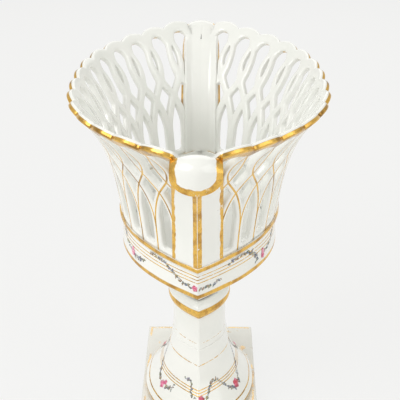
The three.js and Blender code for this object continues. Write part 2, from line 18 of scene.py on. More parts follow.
import bmesh
import bpy
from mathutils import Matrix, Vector

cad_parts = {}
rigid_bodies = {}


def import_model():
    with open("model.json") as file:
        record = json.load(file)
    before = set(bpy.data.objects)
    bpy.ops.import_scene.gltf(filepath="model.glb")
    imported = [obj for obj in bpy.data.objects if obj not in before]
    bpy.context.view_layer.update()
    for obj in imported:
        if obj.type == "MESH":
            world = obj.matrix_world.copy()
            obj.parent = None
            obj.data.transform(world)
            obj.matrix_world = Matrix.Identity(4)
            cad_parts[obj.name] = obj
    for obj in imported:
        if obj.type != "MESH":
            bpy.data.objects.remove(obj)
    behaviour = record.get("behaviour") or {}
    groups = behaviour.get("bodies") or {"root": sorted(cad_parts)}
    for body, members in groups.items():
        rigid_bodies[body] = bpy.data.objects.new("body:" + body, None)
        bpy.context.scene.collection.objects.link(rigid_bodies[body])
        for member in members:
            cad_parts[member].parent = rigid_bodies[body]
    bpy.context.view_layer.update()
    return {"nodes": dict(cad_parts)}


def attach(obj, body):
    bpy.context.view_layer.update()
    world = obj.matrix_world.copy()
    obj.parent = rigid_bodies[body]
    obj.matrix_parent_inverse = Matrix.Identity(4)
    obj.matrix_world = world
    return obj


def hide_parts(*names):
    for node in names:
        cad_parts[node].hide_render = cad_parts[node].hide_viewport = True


log = logging.getLogger("basket")

MM = 0.001
BODY = "root"

# Levels of the seams between the sections, from the ground up.
BELL_FOOT = 14.0 * MM
STEM_FOOT = 66.0 * MM
COLLAR_FOOT = 93.0 * MM
COLLAR_TOP = 106.0 * MM
NECK_FOOT = 107.2 * MM
BAND_FOOT = 150.5 * MM
BAND_TOP = 175.5 * MM
WALL_HEIGHT = 87.5 * MM
RIM_LEVEL = BAND_TOP + WALL_HEIGHT
FLOOR_LEVEL = BAND_FOOT - 6.0 * MM

Number = Union["Wire", float, int]
Feed = Union["Wire", float, int, str, tuple, object]
Colour = tuple[float, float, float]


def blend(low: float, high: float, share: float) -> float:
    """Value at a share of the way from low to high."""
    return low + (high - low) * share


def smooth(value: float, low: float, high: float) -> float:
    """Smooth step of a value between two limits, from 0 to 1."""
    t = min(max((value - low) / (high - low), 0.0), 1.0)
    return t * t * (3.0 - 2.0 * t)


class Wire:
    """An output of a node tree that can stand in a Python expression."""

    def __init__(self, bench: "Bench", socket: bpy.types.NodeSocket) -> None:
        """Keeps the bench that writes the tree and the socket itself."""
        self.bench = bench
        self.socket = socket

    def math(self, operation: str, *values: Number) -> "Wire":
        """One Math node on the values, in order."""
        return self.bench.node("ShaderNodeMath", {"operation": operation}, dict(enumerate(values)))

    def output(self, name: str) -> "Wire":
        """Another output of the same node."""
        return Wire(self.bench, self.socket.node.outputs[name])

    def __add__(self, other: Number) -> "Wire":
        """Sum."""
        return self.math("ADD", self, other)

    def __radd__(self, other: Number) -> "Wire":
        """Sum with a number on the left."""
        return self.math("ADD", other, self)

    def __sub__(self, other: Number) -> "Wire":
        """Difference."""
        return self.math("SUBTRACT", self, other)

    def __rsub__(self, other: Number) -> "Wire":
        """Difference with a number on the left."""
        return self.math("SUBTRACT", other, self)

    def __mul__(self, other: Number) -> "Wire":
        """Product."""
        return self.math("MULTIPLY", self, other)

    def __rmul__(self, other: Number) -> "Wire":
        """Product with a number on the left."""
        return self.math("MULTIPLY", other, self)

    def __truediv__(self, other: Number) -> "Wire":
        """Quotient."""
        return self.math("DIVIDE", self, other)

    def __pow__(self, other: Number) -> "Wire":
        """Power."""
        return self.math("POWER", self, other)

    def __abs__(self) -> "Wire":
        """Absolute value."""
        return self.math("ABSOLUTE", self)

    def least(self, other: Number) -> "Wire":
        """The smaller of two values."""
        return self.math("MINIMUM", self, other)

    def most(self, other: Number) -> "Wire":
        """The larger of two values."""
        return self.math("MAXIMUM", self, other)

    def rise(self, low: Number, high: Number) -> "Wire":
        """Smooth step from 0 at low to 1 at high."""
        settings = {"interpolation_type": "SMOOTHSTEP"}
        sockets = {"Value": self, "From Min": low, "From Max": high, "To Min": 0.0, "To Max": 1.0}
        return self.bench.node("ShaderNodeMapRange", settings, sockets)

    def fall(self, low: Number, high: Number) -> "Wire":
        """Smooth step from 1 at low to 0 at high."""
        return 1.0 - self.rise(low, high)


class Bench:
    """Writes nodes into one tree."""

    def __init__(self, tree: bpy.types.NodeTree) -> None:
        """Starts on a tree."""
        self.tree = tree

    def node(
        self,
        kind: str,
        settings: Optional[dict[str, object]] = None,
        sockets: Optional[dict[Union[int, str], Feed]] = None,
        out: Union[int, str] = 0,
    ) -> Wire:
        """Adds one node.

        Args:
            kind: the node's type.
            settings: its properties, set first; "stops" holds a ramp's (place, colour) pairs.
            sockets: values or wires of its inputs, by number or by name.
            out: the output to give back, by number or by name.

        Returns:
            The chosen output.
        """
        made = self.tree.nodes.new(kind)
        for name, value in (settings or {}).items():
            if name == "stops":
                self.set_stops(made.color_ramp, value)
            else:
                setattr(made, name, value)
        for key, value in (sockets or {}).items():
            self.feed(self.pick(made.inputs, key), value)
        return Wire(self, self.pick(made.outputs, out))

    @staticmethod
    def pick(sockets: Sequence, key: Union[int, str]) -> bpy.types.NodeSocket:
        """A socket by number, or the first one in use that has the name."""
        if isinstance(key, int):
            return sockets[key]
        return next(s for s in sockets if s.name == key and s.enabled)

    @staticmethod
    def set_stops(ramp: bpy.types.ColorRamp, stops: Sequence[tuple[float, tuple]]) -> None:
        """Gives a ramp its stops."""
        while len(ramp.elements) < len(stops):
            ramp.elements.new(1.0)
        for element, (place, colour) in zip(ramp.elements, stops):
            element.position = place
            element.color = (*colour, 1.0)

    def feed(self, socket: bpy.types.NodeSocket, value: Feed) -> None:
        """Links a wire to an input, or sets the input's own value."""
        if isinstance(value, Wire):
            self.tree.links.new(value.socket, socket)
        elif isinstance(value, tuple) and len(value) == 3 and socket.type == "RGBA":
            socket.default_value = (*value, 1.0)
        else:
            socket.default_value = value

    def vector(self, operation: str, *values: Feed, out: str = "Vector") -> Wire:
        """One Vector Math node; a scale's factor comes last."""
        sockets: dict[Union[int, str], Feed] = dict(enumerate(values))
        if operation == "SCALE":
            sockets = {0: values[0], "Scale": values[1]}
        return self.node("ShaderNodeVectorMath", {"operation": operation}, sockets, out)

    def split(self, vector: Feed) -> tuple[Wire, Wire, Wire]:
        """The three parts of a vector."""
        first = self.node("ShaderNodeSeparateXYZ", None, {0: vector}, "X")
        return first, first.output("Y"), first.output("Z")

    def join(self, x: Feed, y: Feed, z: Feed) -> Wire:
        """A vector from its three parts."""
        return self.node("ShaderNodeCombineXYZ", None, {"X": x, "Y": y, "Z": z})

    def tint(self, factor: Feed, first: Feed, second: Feed, way: str = "MIX") -> Wire:
        """Mix of two colours."""
        settings = {"data_type": "RGBA", "blend_type": way, "clamp_factor": True}
        return self.node("ShaderNodeMix", settings, {"Factor": factor, "A": first, "B": second}, "Result")

    def noise(self, place: Feed, scale: float, detail: float = 2.0, roughness: float = 0.5) -> Wire:
        """Noise from 0 to 1 at a place."""
        sockets = {"Vector": place, "Scale": scale, "Detail": detail, "Roughness": roughness}
        return self.node("ShaderNodeTexNoise", {"noise_dimensions": "3D"}, sockets, "Fac")

    def attribute(self, name: str, out: str = "Fac") -> Wire:
        """A named attribute of the surface, in a shader."""
        return self.node("ShaderNodeAttribute", {"attribute_name": name}, None, out)

    def place(self) -> Wire:
        """Object coordinates, in a shader."""
        return self.node("ShaderNodeTexCoord", None, None, "Object")


class Recipe(Bench):
    """A Geometry Nodes tree with named inputs that turns one object into a finished mesh."""

    def __init__(self, name: str) -> None:
        """Makes the tree with its geometry in and out."""
        tree = bpy.data.node_groups.new(name, "GeometryNodeTree")
        for way in ("INPUT", "OUTPUT"):
            tree.interface.new_socket("Geometry", in_out=way, socket_type="NodeSocketGeometry")
        super().__init__(tree)
        self.entry = tree.nodes.new("NodeGroupInput")
        self.exit = tree.nodes.new("NodeGroupOutput")
        self.values: dict[str, object] = {}

    def start(self) -> Wire:
        """The geometry that the tree is given."""
        return Wire(self, self.entry.outputs["Geometry"])

    def ask(self, name: str, value: Union[float, int, bpy.types.Object]) -> Wire:
        """Adds a named input with the value that it is run with."""
        kinds = {float: "NodeSocketFloat", int: "NodeSocketInt"}
        kind = kinds.get(type(value), "NodeSocketObject")
        item = self.tree.interface.new_socket(name, in_out="INPUT", socket_type=kind)
        self.values[item.identifier] = value
        return Wire(self, self.entry.outputs[name])

    def shape(self, asked: Wire) -> Wire:
        """The geometry of an object that was asked for."""
        return self.node("GeometryNodeObjectInfo", None, {"Object": asked}, "Geometry")

    def keep(self, geometry: Wire, name: str, value: Wire, kind: str, domain: str = "POINT") -> Wire:
        """Stores a named attribute."""
        settings = {"data_type": kind, "domain": domain}
        sockets = {"Geometry": geometry, "Name": name, "Value": value}
        return self.node("GeometryNodeStoreNamedAttribute", settings, sockets)

    def chance(self, low: float, high: float, seed: Feed) -> Wire:
        """A random number for each element."""
        sockets = {"Min": low, "Max": high, "Seed": seed}
        node = self.node("FunctionNodeRandomValue", {"data_type": "FLOAT"}, sockets)
        return Wire(self, self.pick(node.socket.node.outputs, "Value"))

    def close(self, geometry: Wire, material: bpy.types.Material) -> None:
        """Ends the tree: real geometry, shaded smooth, with its material."""
        real = self.node("GeometryNodeRealizeInstances", None, {"Geometry": geometry})
        soft = self.node("GeometryNodeSetShadeSmooth", None, {"Geometry": real, "Shade Smooth": True})
        dressed = self.node("GeometryNodeSetMaterial", None, {"Geometry": soft, "Material": material})
        self.tree.links.new(dressed.socket, self.exit.inputs["Geometry"])

    def run(self, thing: bpy.types.Object) -> None:
        """Runs the tree on an object once and leaves a plain mesh."""
        modifier = thing.modifiers.new(self.tree.name, "NODES")
        modifier.node_group = self.tree
        for identifier, value in self.values.items():
            modifier[identifier] = value
        bake(thing)


def bake(thing: bpy.types.Object) -> None:
    """Turns an object and its modifiers into a plain mesh in the same object."""
    thing.update_tag()
    bpy.context.view_layer.update()
    depsgraph = bpy.context.evaluated_depsgraph_get()
    made = thing.evaluated_get(depsgraph)
    mesh = bpy.data.meshes.new_from_object(made, preserve_all_data_layers=True, depsgraph=depsgraph)
    thing.modifiers.clear()
    thing.data = mesh
    mesh.name = thing.name


def new_object(name: str, data: Optional[bpy.types.ID]) -> bpy.types.Object:
    """An object at the origin, linked to the scene."""
    thing = bpy.data.objects.new(name, data)
    bpy.context.scene.collection.objects.link(thing)
    return thing


def mesh_object(
    name: str,
    points: Sequence[Vector],
    faces: Sequence[Sequence[int]],
    attributes: Optional[dict[str, Sequence[float]]] = None,
) -> bpy.types.Object:
    """A mesh object from points and faces, shaded smooth.

    Args:
        name: the object's name.
        points: the vertices.
        faces: the vertex numbers of each face.
        attributes: values at the vertices, by name.

    Returns:
        The object.
    """
    mesh = bpy.data.meshes.new(name)
    mesh.from_pydata([tuple(p) for p in points], [], [tuple(f) for f in faces])
    for key, values in (attributes or {}).items():
        layer = mesh.attributes.new(key, "FLOAT", "POINT")
        layer.data.foreach_set("value", values)
    mesh.polygons.foreach_set("use_smooth", [True] * len(mesh.polygons))
    mesh.update()
    return new_object(name, mesh)


def tidy_mesh(thing: bpy.types.Object, weld: float = 1e-6) -> None:
    """Welds a mesh, fills what is open in it and turns its faces outwards.

    Args:
        thing: the piece.
        weld: distance below which points become one.
    """
    work = bmesh.new()
    work.from_mesh(thing.data)
    bmesh.ops.remove_doubles(work, verts=work.verts, dist=weld)
    open_edges = [e for e in work.edges if e.is_boundary]
    if open_edges:
        bmesh.ops.holes_fill(work, edges=open_edges, sides=0)
    bmesh.ops.recalc_face_normals(work, faces=work.faces)
    work.to_mesh(thing.data)
    work.free()
    thing.data.update()


def mirrored(thing: bpy.types.Object, name: str, axis: int) -> bpy.types.Object:
    """A mirror image of a mesh object, with its faces turned out again."""
    mesh = thing.data.copy()
    for vertex in mesh.vertices:
        vertex.co[axis] *= -1.0
    mesh.flip_normals()
    mesh.update()
    return new_object(name, mesh)


def soften(thing: bpy.types.Object, width: float, segments: int = 3, angle: float = 30.0) -> None:
    """Rounds the sharp edges of a mesh and bakes the result.

    Args:
        thing: the piece.
        width: width of the rounding.
        segments: facets across it.
        angle: degrees above which an edge is rounded.
    """
    bevel = thing.modifiers.new("rounding", "BEVEL")
    bevel.width = width
    bevel.segments = segments
    bevel.limit_method = "ANGLE"
    bevel.angle_limit = math.radians(angle)
    bevel.use_clamp_overlap = True
    bevel.miter_outer = "MITER_ARC"
    bevel.harden_normals = False
    weighted = thing.modifiers.new("shading", "WEIGHTED_NORMAL")
    weighted.keep_sharp = True
    bake(thing)


def place_piece(
    thing: bpy.types.Object,
    slot: str,
    nodes: Iterable[str] = (),
    material: Optional[bpy.types.Material] = None,
) -> None:
    """Attaches a finished piece to its body, hides the CAD nodes that it stands for and logs it.

    Args:
        thing: the piece.
        slot: not used.
        nodes: names of the CAD nodes that it replaces.
        material: its material, if it has none yet.
    """
    if material is not None:
        thing.data.materials.clear()
        thing.data.materials.append(material)
    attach(thing, BODY)
    names = list(nodes)
    if names:
        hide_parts(*names)
    triangles = sum(len(p.vertices) - 2 for p in thing.data.polygons)
    log.info("%s: %d triangles, for %s", thing.name, triangles, ", ".join(names) or "no node")


@dataclass(frozen=True)
class Plan:
    """Pointed-oval outline: half-width, half-length and fullness of its sides."""

    half_width: float
    half_length: float
    fullness: float

    def width_at(self, y: float) -> float:
        """Half-width at a distance from the middle."""
        return self.half_width * (1.0 - abs(y / self.half_length) ** self.fullness)

    def grown(self, sides: float, corners: Optional[float] = None) -> "Plan":
        """The plan made wider at the sides and longer at the corners."""
        extra = sides if corners is None else corners
        return Plan(self.half_width + sides, self.half_length + extra, self.fullness)

    def inset(self, thickness: float) -> "Plan":
        """The plan drawn in by a wall's thickness."""
        return self.grown(-thickness, -thickness * math.sqrt(2.0))

    def mixed(self, other: "Plan", share: float) -> "Plan":
        """A plan between this one and another."""
        return Plan(
            blend(self.half_width, other.half_width, share),
            blend(self.half_length, other.half_length, share),
            blend(self.fullness, other.fullness, share),
        )

    def side(self, count: int = 240) -> list[Vector]:
        """Evenly spaced points of the +X side, from the front corner to the back one.

        Args:
            count: steps between the two corners.

        Returns:
            The points, at height 0.
        """
        fine = 2400
        rough = []
        for i in range(fine + 1):
            y = self.half_length * (2.0 * i / fine - 1.0)
            rough.append(Vector((self.width_at(y), y, 0.0)))
        lengths = [0.0]
        for before, after in zip(rough, rough[1:]):
            lengths.append(lengths[-1] + (after - before).length)
        points = []
        at = 0
        for i in range(count + 1):
            goal = lengths[-1] * i / count
            while at < fine - 1 and lengths[at + 1] < goal:
                at += 1
            share = (goal - lengths[at]) / (lengths[at + 1] - lengths[at])
            points.append(rough[at].lerp(rough[at + 1], share))
        return points

    def length(self) -> float:
        """Running length of one side."""
        points = self.side(400)
        return sum((b - a).length for a, b in zip(points, points[1:]))

    def ring(self, z: float, steps: int = 72) -> list[Vector]:
        """Closed ring at a height, from the front corner round by +X."""
        half = [Vector((p.x, p.y, z)) for p in self.side(steps)]
        back = [Vector((-p.x, p.y, z)) for p in reversed(half[1:-1])]
        return half + back


RIM_PLAN = Plan(85.0 * MM, 147.5 * MM, 2.67)
WALL_FOOT_PLAN = Plan(56.0 * MM, 99.7 * MM, 2.22)
BAND_BOTTOM_PLAN = Plan(54.3 * MM, 96.3 * MM, 2.5)
NECK_PLAN = Plan(15.0 * MM, 26.0 * MM, 2.3)
NECK_FOOT_PLAN = Plan(18.0 * MM, 30.5 * MM, 2.3)
FLOOR_PLAN = Plan(16.0 * MM, 32.0 * MM, 2.3)
COLLAR_PLAN = Plan(23.4 * MM, 38.0 * MM, 2.3)
STEM_PLAN = Plan(20.0 * MM, 33.5 * MM, 2.3)
WAIST_PLAN = STEM_PLAN.grown(1.0 * MM, 2.0 * MM)
BELL_PLAN = Plan(42.5 * MM, 68.0 * MM, 2.32)


def round_ring(radius: float, z: float, steps: int = 72) -> list[Vector]:
    """Round ring with as many points as a plan's ring, in the same order."""
    ring = []
    for i in range(2 * steps):
        angle = math.pi * i / steps - math.pi / 2.0
        ring.append(Vector((radius * math.cos(angle), radius * math.sin(angle), z)))
    return ring


def loft(name: str, rings: Sequence[Sequence[Vector]]) -> bpy.types.Object:
    """Ring-shaped body whose profile runs up the outside and down the inside, and closes.

    Args:
        name: name of the object.
        rings: rings with the same number of points.

    Returns:
        The closed body.
    """
    count = len(rings[0])
    faces = []
    for r in range(len(rings)):
        upper = ((r + 1) % len(rings)) * count
        for i in range(count):
            j = (i + 1) % count
            faces.append((r * count + i, r * count + j, upper + j, upper + i))
    thing = mesh_object(name, [p for ring in rings for p in ring], faces)
    tidy_mesh(thing)
    return thing


def finished_loft(
    name: str,
    rings: Sequence[Sequence[Vector]],
    material: bpy.types.Material,
    width: float,
    angle: float,
    segments: int = 3,
) -> bpy.types.Object:
    """A loft with rounded edges and its material.

    Args:
        name: name of the object.
        rings: rings with the same number of points.
        material: its material.
        width: width of the rounding.
        angle: degrees above which an edge is rounded.
        segments: facets across the rounding.

    Returns:
        The finished piece.
    """
    thing = loft(name, rings)
    soften(thing, width, segments, angle)
    thing.data.materials.append(material)
    return thing


def moulding(
    low: Plan,
    low_z: float,
    high: Plan,
    high_z: float,
    shape: Callable[[float], tuple[float, float]],
    steps: int,
) -> list[list[Vector]]:
    """Rings between two plans and heights.

    Args:
        low: the first plan, at low_z.
        high: the last plan, at high_z.
        shape: gives the share of the way of the plan and of the height, from 0 to 1.
        steps: how many steps the moulding takes.

    Returns:
        The rings.
    """
    rings = []
    for i in range(steps + 1):
        out, up = shape(i / steps)
        rings.append(low.mixed(high, out).ring(blend(low_z, high_z, up)))
    return rings


def guide(name: str, plan: Plan, z: float, count: int = 480) -> bpy.types.Object:
    """A curve along one side of a plan, from the front corner to the back one."""
    curve = bpy.data.curves.new(name, "CURVE")
    curve.dimensions = "3D"
    spline = curve.splines.new("POLY")
    spline.points.add(count)
    for knot, point in zip(spline.points, plan.side(count)):
        knot.co = (point.x, point.y, z, 1.0)
    return new_object(name, curve)


@dataclass(frozen=True)
class Skin:
    """A surface between two plans, on which flat work is bent round one side.

    The flat work's x runs along the side from 0 to periods, its y up the height from 0 to 1,
    and its z is a depth in metres into the body. The first and the last upright line stand
    skips away from the corners. With lead, the flat lines slant: at the foot they are moved
    along by lead periods towards the corners, and reach their own places at the top.
    """

    low: Plan
    high: Plan
    low_z: float
    height: float
    across: float
    along: float
    power: float
    rise: float = 0.0
    low_skip: float = 0.0
    high_skip: float = 0.0
    lead: float = 0.0
    slant: float = 0.25
    slant_power: float = 3.23

    def bend(self, recipe: Recipe, geometry: Wire, periods: Number, level: float = 0.15) -> Wire:
        """Adds the nodes that bend flat work round the side.

        Args:
            recipe: the tree.
            geometry: the flat work.
            periods: the flat length of the side.
            level: height share below which the depth turns level, so that a foot sits flat.

        Returns:
            The bent geometry.
        """
        low = recipe.shape(recipe.ask("Low plan", guide("low", self.low, self.low_z)))
        high = recipe.shape(recipe.ask("High plan", guide("high", self.high, self.low_z + self.height)))
        height = recipe.ask("Height", self.height)
        power = recipe.ask("Flare power", self.power)
        rise = recipe.ask("Rise at the corners", self.rise)
        low_skip = recipe.ask("Left out at the foot", self.low_skip / self.low.length())
        high_skip = recipe.ask("Left out at the top", self.high_skip / self.high.length())
        lead = recipe.ask("Periods hidden at the foot", self.lead)
        x, y, depth = recipe.split(recipe.node("GeometryNodeInputPosition"))
        v = y.most(0.0)
        upright = x / periods
        slanted = (x - lead) / (periods - 2.0 * lead)
        turn = self.slant * v + (1.0 - self.slant) * v**self.slant_power
        u = slanted + (upright - slanted) * turn
        curved = v**power
        steep = power * v ** (power - 1.0)
        starts = (
            recipe.ask("Straight share across", self.across),
            recipe.ask("Straight share along", self.along),
        )
        share = recipe.join(*(start * y + (1.0 - start) * curved for start in starts), 0.0)
        slope = recipe.join(*(start + (1.0 - start) * steep for start in starts), 0.0)
        nudge = 0.001

        def sample(curve: Wire, skip: Wire, at: Wire) -> Wire:
            """Place on a guide curve, at a share of what the skips leave of it."""
            factor = (skip + at * (1.0 - 2.0 * skip)).most(0.0).least(1.0)
            settings = {"mode": "FACTOR", "use_all_curves": True}
            values = {"Curves": curve, "Factor": factor}
            return recipe.node("GeometryNodeSampleCurve", settings, values, "Position")

        def level_point(at: Wire) -> tuple[Wire, Wire]:
            """Place on the surface without its rise, and the step between the two plans."""
            first = sample(low, low_skip, at)
            gap = recipe.vector("SUBTRACT", sample(high, high_skip, at), first)
            return recipe.vector("ADD", first, recipe.vector("MULTIPLY", gap, share)), gap

        point, gap = level_point(u)
        before, _ = level_point(u - nudge)
        after, _ = level_point(u + nudge)
        chord = recipe.vector("SUBTRACT", after, before)
        high_y = recipe.split(sample(high, high_skip, u))[1]
        lift = rise * (abs(high_y) / self.high.half_length) ** 5.0
        tilt = recipe.join(0.0, 0.0, height + 4.0 * lift * v**3.0)
        up = recipe.vector("ADD", recipe.vector("MULTIPLY", gap, slope), tilt)
        square = recipe.vector("NORMALIZE", recipe.vector("CROSS_PRODUCT", chord, up))
        flat = v.rise(0.0, level)
        square = recipe.vector("NORMALIZE", recipe.vector("MULTIPLY", square, recipe.join(1.0, 1.0, flat)))
        lifted = recipe.vector("ADD", point, recipe.join(0.0, 0.0, height * y + lift * v**4.0))
        final = recipe.vector("SUBTRACT", lifted, recipe.vector("SCALE", square, depth))
        return recipe.node("GeometryNodeSetPosition", None, {"Geometry": geometry, "Position": final})

    def point(self, low_run: float, high_run: float, v: float) -> Vector:
        """The point at running lengths from the front corner, given at the foot and the top."""
        low = SideTable.of(self.low).at(low_run)
        high = SideTable.of(self.high).at(high_run)
        lift = self.rise * abs(high.y / self.high.half_length) ** 5 * max(v, 0.0) ** 4
        x = blend(low.x, high.x, self.share(self.across, v))
        y = blend(low.y, high.y, self.share(self.along, v))
        return Vector((x, y, self.low_z + self.height * v + lift))

    def share(self, start: float, v: float) -> float:
        """How far the surface has gone from its low plan to its high one."""
        return start * v + (1.0 - start) * max(v, 0.0) ** self.power

    def slope(self, start: float, v: float) -> float:
        """How fast the share grows."""
        return start + (1.0 - start) * self.power * max(v, 0.0) ** (self.power - 1.0)


class SideTable:
    """Points of one side of a plan by running length from the front corner."""

    known: dict[Plan, "SideTable"] = {}

    def __init__(self, plan: Plan) -> None:
        """Measures the plan's side."""
        self.count = 1600
        self.points = plan.side(self.count)
        self.total = sum((b - a).length for a, b in zip(self.points, self.points[1:]))

    @classmethod
    def of(cls, plan: Plan) -> "SideTable":
        """The table of a plan, made once."""
        if plan not in cls.known:
            cls.known[plan] = cls(plan)
        return cls.known[plan]

    def at(self, run: float) -> Vector:
        """The point at a running length, also a little before the corner."""
        share = run / self.total * self.count
        index = min(max(int(math.floor(share)), 0), self.count - 1)
        return self.points[index].lerp(self.points[index + 1], share - index)


PILASTER_AT_FOOT = 20.5 * MM
PILASTER_AT_RIM = 16.7 * MM
WALL_SKIN = Skin(
    WALL_FOOT_PLAN,
    RIM_PLAN,
    BAND_TOP,
    WALL_HEIGHT,
    across=0.42,
    along=0.08,
    power=3.0,
    rise=3.7 * MM,
    low_skip=PILASTER_AT_FOOT,
    high_skip=PILASTER_AT_RIM,
    lead=1.16,
)


class Outline(Enum):
    """Holes of one period of the pierced wall."""

    LANCET = "lancet"
    KITE = "kite"
    DROP = "drop"
    SLIT = "slit"


@dataclass
class PiercedWall:
    """Side wall of the bowl: a net of interlaced bars under a scalloped rim.

    Heights are shares of the wall's height and widths are shares of a period. A bar stands at
    every whole number of periods and forks into two branches, which cross those of the next
    bars and meet again above the bar.
    """

    periods: int = 14
    lancet_foot: float = 0.035
    lancet_corner: float = 0.03
    fork: float = 0.2
    lower_crossing: float = 0.528
    upper_crossing: float = 0.665
    meeting: float = 0.935
    net_top: float = 0.962
    bar_half: float = 0.22
    branch_half: float = 0.175
    member_half: float = 0.1
    top_spread: float = 0.19
    bow: float = 1.9
    thickness: float = 4.6 * MM
    scallop: float = 2.3 * MM
    fullness: float = 4.0
    stations: int = 12
    foot_period: float = 16.5 * MM
    rim_period: float = 23.0 * MM
    lines: list[list[Vector]] = field(default_factory=list)

    def branch(self, v: float) -> float:
        """Lean of a branch from its bar."""
        t = min(max((v - self.fork) / (self.lower_crossing - self.fork), 0.0), 1.0)
        return 0.5 * t**self.bow

    def crossing(self, v: float) -> float:
        """Lean of a member between the two crossings from the upper one."""
        return 0.5 * (self.upper_crossing - v) / (self.upper_crossing - self.lower_crossing)

    def top(self, v: float) -> float:
        """Lean of a top member from the middle of its notch."""
        t = min(max((v - self.upper_crossing) / (self.meeting - self.upper_crossing), 0.0), 1.0)
        return self.top_spread * math.sin(math.pi * t)

    @staticmethod
    def level(lean: Callable[[float], float], value: float, low: float, high: float) -> float:
        """Height between two others at which a lean has a value."""
        rising = lean(high) > lean(low)
        for _ in range(40):
            middle = 0.5 * (low + high)
            if (lean(middle) < value) == rising:
                low = middle
            else:
                high = middle
        return 0.5 * (low + high)

    def edge(self, x: float) -> float:
        """Height of the free edge, less its lip, at a share of a period."""
        crown = self.scallop / WALL_HEIGHT * abs(math.sin(math.pi * x)) ** 0.8
        return 1.0 + crown - self.lip()

    def lip(self) -> float:
        """Height of the rounded lip."""
        return 0.5 * self.thickness / WALL_HEIGHT

    def size(self, step: Vector, v: float) -> Vector:
        """A flat step in metres at a height."""
        share = WALL_SKIN.share(0.3, v)
        return Vector((step.x * blend(self.foot_period, self.rim_period, share), step.y * WALL_HEIGHT, 0.0))

    def halves(self) -> dict[Outline, list[tuple[Vector, Vector]]]:
        """Pairs of a middle-line point and its hole point, for half of each hole.

        Returns:
            For each hole the pairs from its bottom to its top, on the side of falling x for
            holes about the middle of the period and of rising x for those about a bar.
        """
        spring = self.level(self.branch, self.bar_half - self.branch_half, self.fork, self.lower_crossing)
        tip = self.level(self.branch, 0.5 - self.branch_half, self.fork, self.lower_crossing)
        kite_foot = self.level(self.branch, self.branch_half, self.fork, self.lower_crossing)
        kite_tip = self.level(self.crossing, self.branch_half, self.lower_crossing, self.upper_crossing)
        drop_foot = self.level(
            self.crossing, 0.5 - self.branch_half, self.lower_crossing, self.upper_crossing
        )
        slit_middle = 0.5 * (self.upper_crossing + self.meeting)

        def run(count: int, pair: Callable[[float], tuple[Vector, Vector]], first: bool = False) -> list:
            """Pairs at even shares, without the first one unless asked."""
            return [pair(i / count) for i in range(0 if first else 1, count + 1)]

        def flat(x: float, y: float) -> Vector:
            """A flat point."""
            return Vector((x, y, 0.0))

        def line(lean: Callable[[float], float], low: float, high: float) -> Callable[[float], Vector]:
            """Middle line of a member by share of its height."""
            return lambda t: flat(lean(blend(low, high, t)), blend(low, high, t))

        branch = line(self.branch, self.fork, self.lower_crossing)
        cross = line(self.crossing, self.lower_crossing, self.upper_crossing)
        rise = line(self.top, self.upper_crossing, self.meeting)
        shoulder = self.lancet_foot + self.lancet_corner
        inner = 0.5 - self.bar_half

        def member(v: float) -> float:
            """Half-width of a top member at a height."""
            return blend(self.branch_half, self.member_half, smooth(v, self.upper_crossing, slit_middle))

        slit_foot = self.level(lambda v: self.top(v) - member(v), 0.0, self.upper_crossing, slit_middle)
        slit_top = self.level(lambda v: self.top(v) - member(v), 0.0, slit_middle, self.meeting)

        def side(
            lean: Callable[[float], float], half: Callable[[float], float], low: float, high: float
        ) -> Callable[[float], Vector]:
            """Side of a hole beside a member, by share of its height, within half a period."""

            def at(t: float) -> Vector:
                """Hole point at a share of the height."""
                v = blend(low, high, t)
                return flat(min(max(lean(v) + half(v), 0.0), 0.5), v)

            return at

        def beyond(v: float) -> float:
            """Half-width of a branch, on its far side."""
            return self.branch_half

        def before(v: float) -> float:
            """Half-width of a branch, on its near side."""
            return -self.branch_half

        crown = self.net_top - 0.075
        arch = side(self.branch, beyond, spring, tip)
        kite_low = side(self.branch, before, kite_foot, self.lower_crossing)
        kite_high = side(self.crossing, before, self.lower_crossing, kite_tip)
        drop_low = side(self.crossing, beyond, drop_foot, self.upper_crossing)
        drop_side = side(self.top, member, self.upper_crossing, crown)
        slit_side = side(self.top, lambda v: -member(v), slit_foot, slit_top)

        def drop_crown(t: float) -> Vector:
            """Hole point on the drop's round top."""
            start = self.top(crown) + member(crown)
            angle = 0.5 * math.pi * t
            across = blend(0.5, start, math.cos(angle) ** 0.75)
            return flat(across, crown + (self.net_top - crown) * math.sin(angle))

        def neck(t: float) -> Vector:
            """Middle line from the meeting of two members up to their notch."""
            return flat(0.0, blend(self.meeting, self.edge(0.0), t))

        return {
            Outline.LANCET: run(
                4,
                lambda t: (
                    flat(0.5 - 0.5 * t, 0.0),
                    flat(blend(0.5, self.bar_half + 0.03, t), self.lancet_foot),
                ),
                True,
            )
            + run(
                8,
                lambda t: (
                    flat(0.0, self.fork * t),
                    flat(0.5 - inner, blend(shoulder - 0.015, spring, t)),
                ),
            )
            + run(14, lambda t: (branch(t), arch(t))),
            Outline.KITE: run(14, lambda t: (branch(t), kite_low(t)), True)
            + run(8, lambda t: (cross(t), kite_high(t))),
            Outline.DROP: run(8, lambda t: (cross(t), drop_low(t)), True)
            + run(14, lambda t: (rise(t), drop_side(t)))
            + run(2, lambda t: (neck(t), drop_crown(0.12 * t)))
            + run(9, lambda t: (self.free(0.5 * t), drop_crown(0.12 + 0.88 * t))),
            Outline.SLIT: run(14, lambda t: (rise(t), slit_side(t)), True),
        }

    def free(self, x: float) -> Vector:
        """Point of the free edge."""
        return Vector((x, self.edge(x), 0.0))

    def rounded(self, outline: list[Vector], passes: int = 2) -> list[Vector]:
        """A closed outline with its corners eased."""
        for _ in range(passes):
            count = len(outline)
            outline = [
                0.25 * outline[i - 1] + 0.5 * outline[i] + 0.25 * outline[(i + 1) % count]
                for i in range(count)
            ]
        return outline

